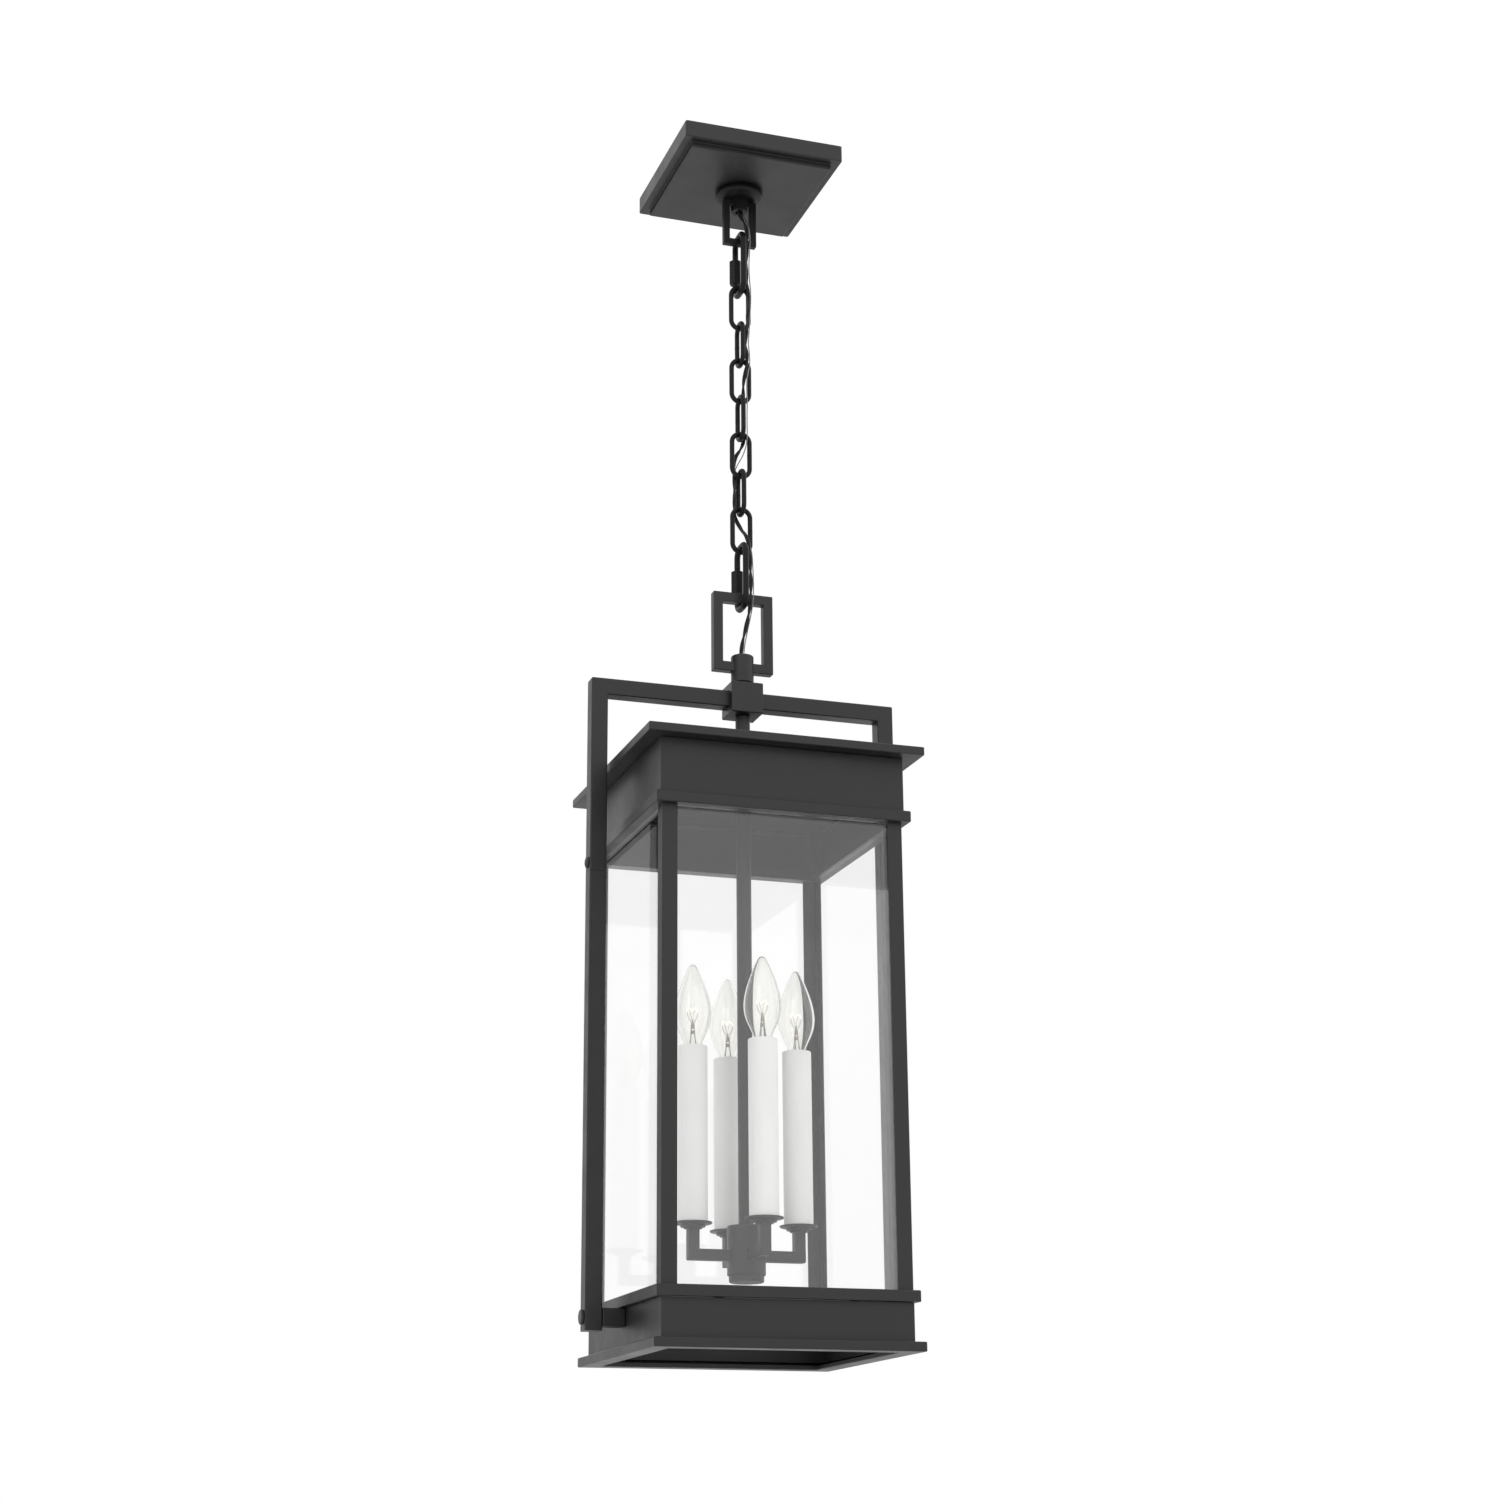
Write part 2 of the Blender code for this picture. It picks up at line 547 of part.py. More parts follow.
def make_standoffs():
    high = LOWER_SCREW_Z + STANDOFF_HEIGHT / 2
    outer = YOKE_HALF - YOKE_TUBE / 2 - GAP
    half = YOKE_TUBE / 2
    for name, side in SIDES:
        near, far = sorted((side * STANDOFF_INNER, side * outer))
        body = box_mesh((near, -half, high - STANDOFF_HEIGHT), (far, half, high))
        block = add_object("standoff_" + name, *body, "black")
        bevel(block, 0.6 * MM, 1)
        bore = along_x(cylinder_mesh(SCREW_R + GAP, near - MM, far + MM, sides=12), LOWER_SCREW_Z)
        boolean(block, add_helper("standoff_bore_" + name, *bore), "DIFFERENCE")


def make_stem():
    top = CUBE_BOTTOM - GAP
    profile = [(CORD_BORE_R, STEM_FOOT), (STEM_R, STEM_FOOT), (STEM_R, top), (CORD_BORE_R, top)]
    add_object("stem_tube", *turned_mesh(profile, closed=True), "black")


# ----------------------------------------------------------------------- cage


def stem_hole(name, low, high):
    return add_helper(name, *cylinder_mesh(STEM_R + GAP, low - MM, high + MM))


def make_roof():
    top, bottom, sheet = ROOF_TOP, ROOF_BOTTOM, SHEET
    profile = [
        (0, top), (ROOF_HALF - EDGE, top), (ROOF_HALF, top - EDGE), (ROOF_HALF, bottom + EDGE),
        (ROOF_HALF - EDGE, bottom), (ROOF_RETURN, bottom), (ROOF_RETURN, bottom + sheet),
        (ROOF_HALF - sheet, bottom + sheet), (ROOF_HALF - sheet, top - sheet), (0, top - sheet),
    ]
    roof = add_object("roof_plate", *square_mesh(profile, closed=False), "black")
    boolean(roof, stem_hole("roof_hole", ROOF_BOTTOM, ROOF_TOP), "DIFFERENCE")


def make_cap_box():
    top = ROOF_BOTTOM - GAP
    inner = CAP_HALF - CAP_SHEET
    profile = [
        (0, CAP_CEILING), (inner, CAP_CEILING), (inner, CAP_BOTTOM), (CAP_HALF, CAP_BOTTOM),
        (CAP_HALF, top), (inner, top), (inner, CAP_CEILING + CAP_SHEET), (0, CAP_CEILING + CAP_SHEET),
    ]
    cap = add_object("cap_box", *square_mesh(profile, closed=False), "black")
    boolean(cap, stem_hole("cap_hole", CAP_CEILING, CAP_CEILING + CAP_SHEET), "DIFFERENCE")


def angle_post(sign_x, sign_y):
    """An angle section with its corner outward at one corner of the cage."""
    top, foot = CAP_CEILING - GAP, BASE_TRIM_TOP - 4 * MM
    near, inner = POST_OUTER - POST_LEG, POST_OUTER - POST_SHEET
    outline = [
        (POST_OUTER, POST_OUTER), (POST_OUTER, near), (inner, near),
        (inner, inner), (near, inner), (near, POST_OUTER),
    ]
    verts = [(x * sign_x, y * sign_y, z) for z in (foot, top) for x, y in outline]
    count = len(outline)
    faces = [(k, (k + 1) % count, (k + 1) % count + count, k + count) for k in range(count)]
    faces += [tuple(range(count)), tuple(range(count, 2 * count))]
    return verts, faces


def make_cage_frame():
    lip = 1.2 * MM
    trim = [
        (TRIM_INNER, TRIM_TOP), (TRIM_HALF - 1.4 * MM, TRIM_TOP), (TRIM_HALF, TRIM_TOP - 1.4 * MM),
        (TRIM_HALF, TRIM_BOTTOM + lip), (TRIM_HALF - lip, TRIM_BOTTOM), (TRIM_INNER, TRIM_BOTTOM),
    ]
    frame = add_object("cage_frame", *square_mesh(trim), "black")
    for sign_x in (-1, 1):
        for sign_y in (-1, 1):
            boolean(frame, add_helper(f"post_{sign_x}_{sign_y}", *angle_post(sign_x, sign_y)), "UNION")
    low = [
        (BASE_TRIM_INNER, BASE_TRIM_TOP), (BASE_TRIM_HALF - lip, BASE_TRIM_TOP),
        (BASE_TRIM_HALF, BASE_TRIM_TOP - lip), (BASE_TRIM_HALF, BASE_TRIM_BOTTOM),
        (BASE_TRIM_INNER, BASE_TRIM_BOTTOM),
    ]
    boolean(frame, add_helper("base_trim", *square_mesh(low)), "UNION")


def make_base_skirt():
    top = BASE_TRIM_BOTTOM - GAP
    sheet = BASE_SHEET
    profile = [
        (BASE_HALF, top), (BASE_HALF, FLANGE_TOP), (FLANGE_HALF, FLANGE_TOP), (FLANGE_HALF, FLANGE_BOTTOM),
        (FLANGE_INNER, FLANGE_BOTTOM), (FLANGE_INNER, FLANGE_BOTTOM + 4 * MM),
        (FLANGE_INNER + sheet, FLANGE_BOTTOM + 4 * MM), (FLANGE_INNER + sheet, FLANGE_BOTTOM + sheet),
        (FLANGE_HALF - sheet, FLANGE_BOTTOM + sheet), (FLANGE_HALF - sheet, FLANGE_TOP - sheet),
        (BASE_HALF - sheet, FLANGE_TOP - sheet), (BASE_HALF - sheet, top),
    ]
    skirt = add_object("base_skirt", *square_mesh(profile), "black")
    reach = BASE_HALF + 2 * MM
    bore = along_x(cylinder_mesh(SCREW_R + GAP, -reach, reach, sides=12), LOWER_SCREW_Z)
    boolean(skirt, add_helper("skirt_screw_way", *bore), "DIFFERENCE")


def make_glass():
    inner = GLASS_OUTER - GLASS_THICK
    wide, narrow = GLASS_OUTER - 0.2 * MM, inner - GAP
    panes = {
        "front": ((-wide, -GLASS_OUTER), (wide, -inner)),
        "back": ((-wide, inner), (wide, GLASS_OUTER)),
        "left": ((-GLASS_OUTER, -narrow), (-inner, narrow)),
        "right": ((inner, -narrow), (GLASS_OUTER, narrow)),
    }
    for name, (low, high) in panes.items():
        mesh = box_mesh((*low, GLASS_BOTTOM), (*high, GLASS_TOP))
        add_object("glass_" + name, *mesh, "glass")


# ------------------------------------------------------------- candle cluster


def arm_mesh(direction):
    """One bent square arm, from inside the hub out and up to its dish."""
    start = HUB_R - 2.5 * MM
    path = [(ARM_REACH, ARM_TOP), (ARM_REACH, ARM_Z), (start, ARM_Z)]
    across = (-direction[1], direction[0], 0)
    section = square_section(ARM_BAR / 2, EDGE)
    return swept_mesh(path, section, across, (direction[0], direction[1], 0), (0, 0, 1), closed=False)


def make_cluster_body():
    profile = [
        (0, HUB_BOTTOM), (HUB_R - MM, HUB_BOTTOM), (HUB_R, HUB_BOTTOM + MM), (HUB_R, HUB_TOP - 2 * MM),
        (HUB_R - 0.7 * MM, HUB_TOP - 0.6 * MM), (HUB_R - 2 * MM, HUB_TOP), (0, HUB_TOP),
    ]
    hub = add_object("cluster_body", *turned_mesh(profile, sides=28), "black")
    for name, direction in CLUSTER.items():
        boolean(hub, add_helper("arm_" + name, *arm_mesh(direction)), "UNION")
    seat = cylinder_mesh(STEM_R + GAP, STEM_FOOT - GAP, HUB_TOP + MM)
    boolean(hub, add_helper("hub_stem_seat", *seat), "DIFFERENCE")
    wire_way = cylinder_mesh(CORD_BORE_R, STEM_FOOT - 8 * MM, HUB_TOP)
    boolean(hub, add_helper("hub_wire_way", *wire_way), "DIFFERENCE")
    splice = cylinder_mesh(SPLICE_ROOM_R, HUB_BOTTOM - MM, STEM_FOOT - 6 * MM)
    boolean(hub, add_helper("hub_splice_room", *splice), "DIFFERENCE")


def make_cluster_cap():
    top = HUB_BOTTOM - GAP
    foot, lip = top - HUB_CAP_HEIGHT, SPLICE_ROOM_R - 0.4 * MM
    profile = [
        (0, foot), (HUB_CAP_R - 1.6 * MM, foot), (HUB_CAP_R - 0.5 * MM, foot + 0.5 * MM),
        (HUB_CAP_R, foot + 1.6 * MM), (HUB_CAP_R, top), (lip, top), (lip, top + HUB_CAP_LIP),
        (lip - 2 * MM, top + HUB_CAP_LIP), (lip - 2 * MM, top - 2 * MM), (0, top - 2 * MM),
    ]
    add_object("cluster_cap", *turned_mesh(profile, sides=28), "black")


def make_candle(name, centre):
    """Dish, sleeve, socket and bulb on one arm."""
    base = ARM_TOP + GAP
    dish = [
        (3.2, 0), (11.8, 0), (11.8, 1.2), (17.5, 3.9), (17.5, 6), (16.5, 6), (16.3, 4.7), (12.4, 2.6), (3.2, 1.6),
    ]
    profile = [(r * MM, base + z * MM) for r, z in dish]
    add_object("drip_dish_" + name, *turned_mesh(profile, centre, 28, closed=True), "black")
    low, top = base + CANDLE_SEAT, CANDLE_TOP
    sleeve = [
        (CANDLE_BORE_R, low), (CANDLE_R, low), (CANDLE_R, top - MM), (CANDLE_R - 0.6 * MM, top),
        (9 * MM, top), (9 * MM, top - SHEET), (CANDLE_BORE_R, top - SHEET),
    ]
    add_object("candle_sleeve_" + name, *turned_mesh(sleeve, centre, 24, closed=True), "white")
    socket = [
        (0, base), (2.9 * MM, base), (2.9 * MM, top - 47 * MM), (8.2 * MM, top - 45 * MM),
        (8.2 * MM, top - 18 * MM), (6.5 * MM, top - 18 * MM), (6.5 * MM, top - 41 * MM), (0, top - 41 * MM),
    ]
    add_object("lamp_socket_" + name, *turned_mesh(socket, centre, 16), "brass")
    bulb = [
        (0, -40), (2.5, -40), (2.5, -38.5), (6, -36), (6, -16), (7.4, -13), (8, -6), (8.1, 0), (10.4, 7),
        (14.2, 15), (16.5, 22), (17.25, 28), (17, 35), (15.7, 43), (12.6, 53), (8.6, 63), (5.2, 70),
        (2.2, 75), (0, 76.5),
    ]
    profile = [(r * MM, top + z * MM) for r, z in bulb]
    add_object("bulb_" + name, *turned_mesh(profile, centre, 20), "glass", smooth=True)


# ---------------------------------------------------------------------- wires

# Points in millimetres that the insulated pair is threaded through, from the ceiling box to the hub.
CORD_ROUTE = [
    (-1.2, 0, 12), (-1.2, 0, 0), (-1.2, 0, -14), (-1.2, 0, -28), (-1.1, -0.1, -38), (-0.4, -0.8, -46),
    (1.8, -3.0, -54), (4.4, -5.4, -62), (5.8, -6.4, -71), (6.2, -6.6, -80.5), (6.0, -5.6, -93),
    (5.7, -4.6, -108), (5.8, -5.2, -122), (6.6, -6.0, -136), (7.4, -6.2, -150), (6.4, -5.6, -165),
    (5.4, -5.2, -179), (5.0, -2.4, -193), (5.3, -5.0, -206), (5.4, -5.2, -217), (4.2, -3.0, -227),
    (3.6, 0.6, -236), (4.4, 4.2, -246), (5.0, 5.4, -257), (5.0, 5.2, -272), (5.2, 5.4, -288),
    (4.6, 6.6, -299), (1.4, 7.4, -307), (-2.8, 6.6, -314), (-5.2, 5.4, -323), (-5.2, 5.0, -338),
    (-5.2, 4.8, -356), (-5.2, 5.0, -371), (-4.8, 4.4, -380), (-3.2, 2.2, -387), (-0.4, -0.9, -394),
    (2.7, -4.4, -401.5), (5.2, -6.2, -410), (6.4, -6.2, -420), (7.0, -5.8, -433), (7.4, -6.0, -447),
    (7.0, -7.4, -458), (6.4, -7.8, -468), (5.8, -7.0, -478), (4.4, -4.8, -489), (2.4, -2.2, -501),
    (0.2, -0.5, -513), (-1.1, 0, -524), (-1.2, 0, -536), (-1.2, 0, -600), (-1.2, 0, -800),
    (-1.2, 0, -1000), (-1.2, 0, -1082), (-1.2, 0, -1104),
]
# The same for the bare earth wire beside it.
GROUND_ROUTE = [
    (1.6, 0, 12), (1.6, 0, 0), (1.6, 0, -14), (1.6, 0, -28), (1.7, -0.2, -38), (2.4, -1.2, -46),
    (4.8, -3.8, -54), (7.0, -6.4, -62), (8.6, -7.2, -71), (9.0, -7.2, -80.5), (8.8, -6.0, -93),
    (8.4, -5.2, -108), (8.6, -5.8, -122), (9.4, -6.6, -136), (9.8, -5.2, -150), (9.0, -4.6, -165),
    (8.2, -5.0, -179), (7.8, -3.4, -193), (8.0, -5.6, -206), (7.8, -6.6, -217), (6.4, -5.8, -227),
    (5.4, -4.6, -236), (5.2, -4.8, -248), (5.4, -5.2, -260), (5.2, -5.0, -275), (5.2, -5.2, -290),
    (4.9, -4.8, -300), (4.2, -3.0, -307), (2.6, 0.2, -314), (0.0, 3.4, -320), (-2.6, 6.4, -326),
    (-4.6, 8.0, -334), (-5.0, 8.0, -346), (-5.0, 7.8, -360), (-5.0, 7.8, -372), (-4.8, 7.1, -380),
    (-3.5, 5.3, -387), (-1.0, 2.0, -394), (2.9, -0.9, -401), (5.4, -2.9, -406.5), (7.2, -4.4, -412),
    (9.0, -5.2, -421), (9.8, -5.2, -433), (10.2, -5.4, -447), (9.8, -7.0, -458), (9.2, -7.4, -468),
    (8.4, -6.4, -478), (7.0, -3.8, -489), (5.0, -1.6, -501), (3.0, -0.3, -513), (1.8, 0, -524),
    (1.6, 0, -536), (1.6, 0, -600), (1.6, 0, -800), (1.6, 0, -1000), (1.6, 0, -1082), (1.6, 0, -1104),
]
BEND = math.radians(14)  # a span that turns more than this gets a point of its own


def smooth_route(route):
    """A Catmull-Rom curve through the route, with one point added to each span that bends."""
    points = [Vector(route[0])]
    for k in range(1, len(route) - 1):
        points.append(Vector(route[k]))
        if k + 2 >= len(route):
            continue
        a, b, c, d = (Vector(route[i]) for i in range(k - 1, k + 3))
        if (b - a).angle(d - c) > BEND:
            points.append((b + c) * 0.5625 - (a + d) * 0.0625)
    points.append(Vector(route[-1]))
    return [point * MM for point in points]


def make_wire(name, route, radius, kind):
    curve = bpy.data.curves.new(name, "CURVE")
    curve.dimensions = "3D"
    curve.bevel_depth = radius
    curve.bevel_resolution = 2 if kind == "wire" else 1
    curve.use_fill_caps = True
    spline = curve.splines.new("POLY")
    points = smooth_route(route)
    spline.points.add(len(points) - 1)
    for place, point in zip(spline.points, points):
        place.co = (*point, 1.0)
    item = bpy.data.objects.new(name, curve)
    bpy.context.scene.collection.objects.link(item)
    finish(item, kind)


def main():
    clear_scene()
    make_crossbar()
    make_ceiling_screws()
    make_nipple()
    make_canopy()
    make_collar()
    make_canopy_loop()
    make_quick_link("quick_link_upper", UPPER_QUICK_TOP)
    for number in range(1, LINK_COUNT + 1):
        make_chain_link(number)
    make_quick_link("quick_link_lower", LOWER_QUICK_TOP)
    make_lantern_loop()
    make_hub_block()
    make_yoke()
    make_leg_screws()
    make_standoffs()
    make_stem()
    make_roof()
    make_cap_box()
    make_cage_frame()
    make_base_skirt()
    make_glass()
    make_cluster_body()
    make_cluster_cap()
    for name, direction in CLUSTER.items():
        make_candle(name, (direction[0] * ARM_REACH, direction[1] * ARM_REACH))
    make_wire("supply_cord", CORD_ROUTE, CORD_R, "wire")
    make_wire("ground_wire", GROUND_ROUTE, GROUND_R, "zinc")


main()
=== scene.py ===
"""Looks for the hanging square lantern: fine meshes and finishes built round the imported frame.

+Z up. The origin is the middle of the canopy on the ceiling plane, +X runs to the right along the
front pane and +Y runs away from the front. Shapes are built in millimetres and mesh_object turns
them into metres. Materials, light and camera are in metres.
"""

import json
import math

import bmesh
import bpy
from mathutils import Matrix, Vector


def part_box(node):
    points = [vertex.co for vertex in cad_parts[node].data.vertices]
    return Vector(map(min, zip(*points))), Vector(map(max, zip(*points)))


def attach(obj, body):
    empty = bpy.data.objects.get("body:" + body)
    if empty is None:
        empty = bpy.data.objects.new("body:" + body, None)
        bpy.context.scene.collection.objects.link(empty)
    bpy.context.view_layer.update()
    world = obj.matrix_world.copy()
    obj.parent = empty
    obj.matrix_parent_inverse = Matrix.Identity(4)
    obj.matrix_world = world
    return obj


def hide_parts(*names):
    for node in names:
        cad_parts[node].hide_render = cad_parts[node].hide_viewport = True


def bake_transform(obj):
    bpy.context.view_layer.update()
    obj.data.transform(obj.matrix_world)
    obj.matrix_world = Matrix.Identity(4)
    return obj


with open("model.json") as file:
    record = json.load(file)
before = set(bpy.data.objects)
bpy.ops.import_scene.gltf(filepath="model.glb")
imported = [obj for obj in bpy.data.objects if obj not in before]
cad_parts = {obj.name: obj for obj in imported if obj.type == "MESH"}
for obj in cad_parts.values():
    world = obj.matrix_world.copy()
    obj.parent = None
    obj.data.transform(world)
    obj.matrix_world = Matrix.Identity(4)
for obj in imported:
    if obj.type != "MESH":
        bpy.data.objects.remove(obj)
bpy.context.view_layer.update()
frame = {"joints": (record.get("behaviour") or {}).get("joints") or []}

MM = 0.001
FLOOR_Z = -3.4
QUADRANTS = {"front": (0, -1), "back": (0, 1), "left": (-1, 0), "right": (1, 0)}
SIDES = {"left": -1, "right": 1}


# ------------------------------------------------------------------ materials


def ramp(tree, source, low, high, start, stop):
    """Maps a field in a node tree from start..stop to low..high."""
    node = tree.nodes.new("ShaderNodeMapRange")
    for key, value in (("From Min", start), ("From Max", stop), ("To Min", low), ("To Max", high)):
        node.inputs[key].default_value = value
    tree.links.new(source, node.inputs["Value"])
    return node.outputs["Result"]


def math_node(tree, operation, one, two):
    """A Math node in a tree; one and two are sockets or numbers."""
    node = tree.nodes.new("ShaderNodeMath")
    node.operation = operation
    for socket, value in zip(node.inputs, (one, two)):
        if isinstance(value, (int, float)):
            socket.default_value = value
        else:
            tree.links.new(value, socket)
    return node.outputs["Value"]


class Finish:
    """A Principled material with node-made detail in object space."""

    def __init__(self, name, colour, roughness, metallic=0.0):
        self.material = bpy.data.materials.new(name)
        self.material.use_nodes = True
        self.tree = self.material.node_tree
        self.nodes = self.tree.nodes
        self.links = self.tree.links
        self.shader = self.nodes["Principled BSDF"]
        self.shader.inputs["Base Color"].default_value = (*colour, 1.0)
        self.shader.inputs["Roughness"].default_value = roughness
        self.shader.inputs["Metallic"].default_value = metallic
        self.place = self.nodes.new("ShaderNodeTexCoord").outputs["Object"]
        self.height = None

    def mapped(self, scale):
        """Object coordinates stretched by scale (x, y, z)."""
        node = self.nodes.new("ShaderNodeMapping")
        node.inputs["Scale"].default_value = scale
        self.links.new(self.place, node.inputs["Vector"])
        return node.outputs["Vector"]

    def noise(self, size, detail=2.0, stretch=None):
        """A noise field whose blobs are about size metres across."""
        node = self.nodes.new("ShaderNodeTexNoise")
        node.inputs["Scale"].default_value = 1.0 / size
        node.inputs["Detail"].default_value = detail
        self.links.new(self.mapped(stretch) if stretch else self.place, node.inputs["Vector"])
        return node.outputs["Fac"]

    def spread(self, source, low, high, start=0.3, stop=0.7):
        """Maps a field from start..stop to low..high."""
        return ramp(self.tree, source, low, high, start, stop)

    def blend(self, factor, one, two):
        """A colour between one and two, which are colours or sockets."""
        node = self.nodes.new("ShaderNodeMix")
        node.data_type = "RGBA"
        for key, colour in (("A", one), ("B", two)):
            if isinstance(colour, tuple):
                node.inputs[key].default_value = (*colour, 1.0)
            else:
                self.links.new(colour, node.inputs[key])
        self.links.new(factor, node.inputs["Factor"])
        return node.outputs["Result"]

    def math(self, operation, one, two):
        return math_node(self.tree, operation, one, two)

    def shared(self, one, two, share):
        """share of field one and the rest of field two."""
        return self.math("ADD", self.math("MULTIPLY", one, share), self.math("MULTIPLY", two, 1 - share))

    def edges(self, width):
        """0 on flats, rising to 1 within about width of an edge."""
        soft = self.nodes.new("ShaderNodeBevel")
        soft.samples = 4
        soft.inputs["Radius"].default_value = width
        product = self.nodes.new("ShaderNodeVectorMath")
        product.operation = "DOT_PRODUCT"
        self.links.new(soft.outputs["Normal"], product.inputs[0])
        self.links.new(self.nodes.new("ShaderNodeNewGeometry").outputs["Normal"], product.inputs[1])
        return self.spread(product.outputs["Value"], 1.0, 0.0, 0.8, 0.99)

    def drive(self, socket, source):
        self.links.new(source, self.shader.inputs[socket])

    def mottle(self, source, one, two, roughness=None):
        """Varies the colour from one to two with a field, and the roughness over its two values."""
        self.drive("Base Color", self.blend(self.spread(source, 0.0, 1.0), one, two))
        if roughness:
            self.drive("Roughness", self.spread(source, *roughness))

    def relief(self, source, depth, strength):
        """A Bump node fed by source."""
        node = self.nodes.new("ShaderNodeBump")
        node.inputs["Distance"].default_value = depth
        node.inputs["Strength"].default_value = strength
        self.links.new(source, node.inputs["Height"])
        return node

    def bump(self, source, depth, strength):
        """Adds relief of about depth metres on top of any relief already there."""
        node = self.relief(source, depth, strength)
        if self.height is not None:
            self.links.new(self.height, node.inputs["Normal"])
        self.height = node.outputs["Normal"]
        self.drive("Normal", self.height)

    def clear(self, colour):
        """A Transparent shader."""
        node = self.nodes.new("ShaderNodeBsdfTransparent")
        node.inputs["Color"].default_value = (*colour, 1.0)
        return node

    def show(self, factor, one, two):
        """Shows shader one where factor is 0 and two where it is 1."""
        mix = self.nodes.new("ShaderNodeMixShader")
        self.links.new(factor, mix.inputs["Fac"])
        self.links.new(one.outputs["BSDF"], mix.inputs[1])
        self.links.new(two.outputs["BSDF"], mix.inputs[2])
        self.links.new(mix.outputs["Shader"], self.nodes["Material Output"].inputs["Surface"])


def black_coat(name, base=0.009, rough=0.44, peel=0.9 * MM, shine=0.5):
    """Satin black powder coat: orange peel, uneven gloss, edges a little glossier, and painted highlights
    that lighten the edges.
    """
    look = Finish(name, (base, base, base * 1.04), rough)
    look.shader.inputs["Specular IOR Level"].default_value = shine
    fine = look.noise(peel, 3.0)
    broad = look.noise(38 * MM, 3.0)
    shade = look.spread(look.shared(broad, look.noise(0.35 * MM, 1.0), 0.6), 0.0, 1.0, 0.35, 0.65)
    coat = look.blend(shade, (base * 0.8,) * 3, (base * 1.25, base * 1.25, base * 1.3))
    # Painted highlight: this edge mask lightens the colour along every edge; it also makes the edges a little
    # glossier.
    edge_polish_and_painted_highlight = look.edges(0.7 * MM)
    look.drive("Base Color", look.blend(edge_polish_and_painted_highlight, coat, (0.055, 0.055, 0.056)))
    gloss = look.spread(broad, rough - 0.05, rough + 0.06)
    look.drive("Roughness", look.math("SUBTRACT", gloss, look.math("MULTIPLY", edge_polish_and_painted_highlight, 0.1)))
    look.bump(fine, 0.03 * MM, 0.35)
    look.bump(broad, 0.25 * MM, 0.12)
    return look.material


def zinc_plate(name):
    """Zinc-plated steel: faint spangle and drawn streaks."""
    look = Finish(name, (0.6, 0.61, 0.62), 0.34, 1.0)
    streak = look.noise(1.2 * MM, 3.0, (0.08, 1.0, 1.0))
    look.mottle(look.shared(look.noise(4 * MM), streak, 0.5), (0.48, 0.49, 0.5), (0.68, 0.69, 0.7))
    look.drive("Roughness", look.spread(streak, 0.26, 0.46))
    look.bump(streak, 0.02 * MM, 0.4)
    return look.material


def tinned_copper(name):
    """Bare stranded earth wire: fine slanting strands in dull tin."""
    look = Finish(name, (0.24, 0.235, 0.23), 0.32, 1.0)
    strand = look.noise(0.4 * MM, 2.0, (1.0, 1.0, 0.25))
    look.mottle(strand, (0.13, 0.128, 0.125), (0.36, 0.352, 0.34))
    look.drive("Roughness", look.spread(look.noise(5 * MM), 0.26, 0.42))
    look.bump(strand, 0.05 * MM, 0.6)
    return look.material


def brass(name):
    """Stamped brass with a little tarnish."""
    look = Finish(name, (0.75, 0.56, 0.26), 0.3, 1.0)
    look.mottle(look.noise(3 * MM, 4.0), (0.5, 0.35, 0.15), (0.8, 0.62, 0.3), (0.42, 0.24))
    look.bump(look.noise(0.8 * MM), 0.02 * MM, 0.3)
    return look.material


def candle_white(name):
    """Matte ivory-white candle cover: faint mould mottling and a soft waxy sheen."""
    look = Finish(name, (0.94, 0.938, 0.93), 0.42)
    broad = look.noise(14 * MM, 3.0, (1.0, 1.0, 0.35))
    fine = look.noise(0.7 * MM)
    look.mottle(broad, (0.925, 0.922, 0.912), (0.965, 0.962, 0.955))
    look.drive("Roughness", look.spread(fine, 0.36, 0.5))
    look.bump(fine, 0.02 * MM, 0.25)
    look.bump(broad, 0.15 * MM, 0.15)
    return look.material


def wire_jacket(name, colour, rough=0.38):
    """Extruded wire insulation: fine lengthwise drag lines."""
    look = Finish(name, colour, rough)
    look.shader.inputs["Specular IOR Level"].default_value = 0.3
    drag = look.noise(0.5 * MM, 2.0, (1.0, 1.0, 0.06))
    look.mottle(drag, colour, tuple(c * 1.35 + 0.004 for c in colour))
    look.drive("Roughness", look.spread(look.noise(6 * MM), rough - 0.06, rough + 0.1))
    look.bump(drag, 0.03 * MM, 0.3)
    return look.material


def pane_glass(name, tint, wave):
    """Thin clear glass: passes light straight on and mirrors by Fresnel, with drawn-sheet waviness."""
    look = Finish(name, tint, 0.02)
    mirror = look.nodes.new("ShaderNodeBsdfGlossy")
    mirror.inputs["Color"].default_value = (1.0, 1.0, 1.0, 1.0)
    look.links.new(look.spread(look.noise(60 * MM, 4.0), 0.015, 0.06), mirror.inputs["Roughness"])
    ripple = look.relief(look.noise(55 * MM, 1.0), wave, 0.2)
    look.links.new(ripple.outputs["Normal"], mirror.inputs["Normal"])
    share = look.nodes.new("ShaderNodeFresnel")
    inside = look.nodes.new("ShaderNodeNewGeometry").outputs["Backfacing"]
    look.links.new(look.spread(inside, 1.6, 1 / 1.6, 0.0, 1.0), share.inputs["IOR"])
    look.show(look.spread(share.outputs["Fac"], 0.05, 0.18, 0.0, 1.0), look.clear(tint), mirror)
    look.nodes.remove(look.shader)
    return look.material


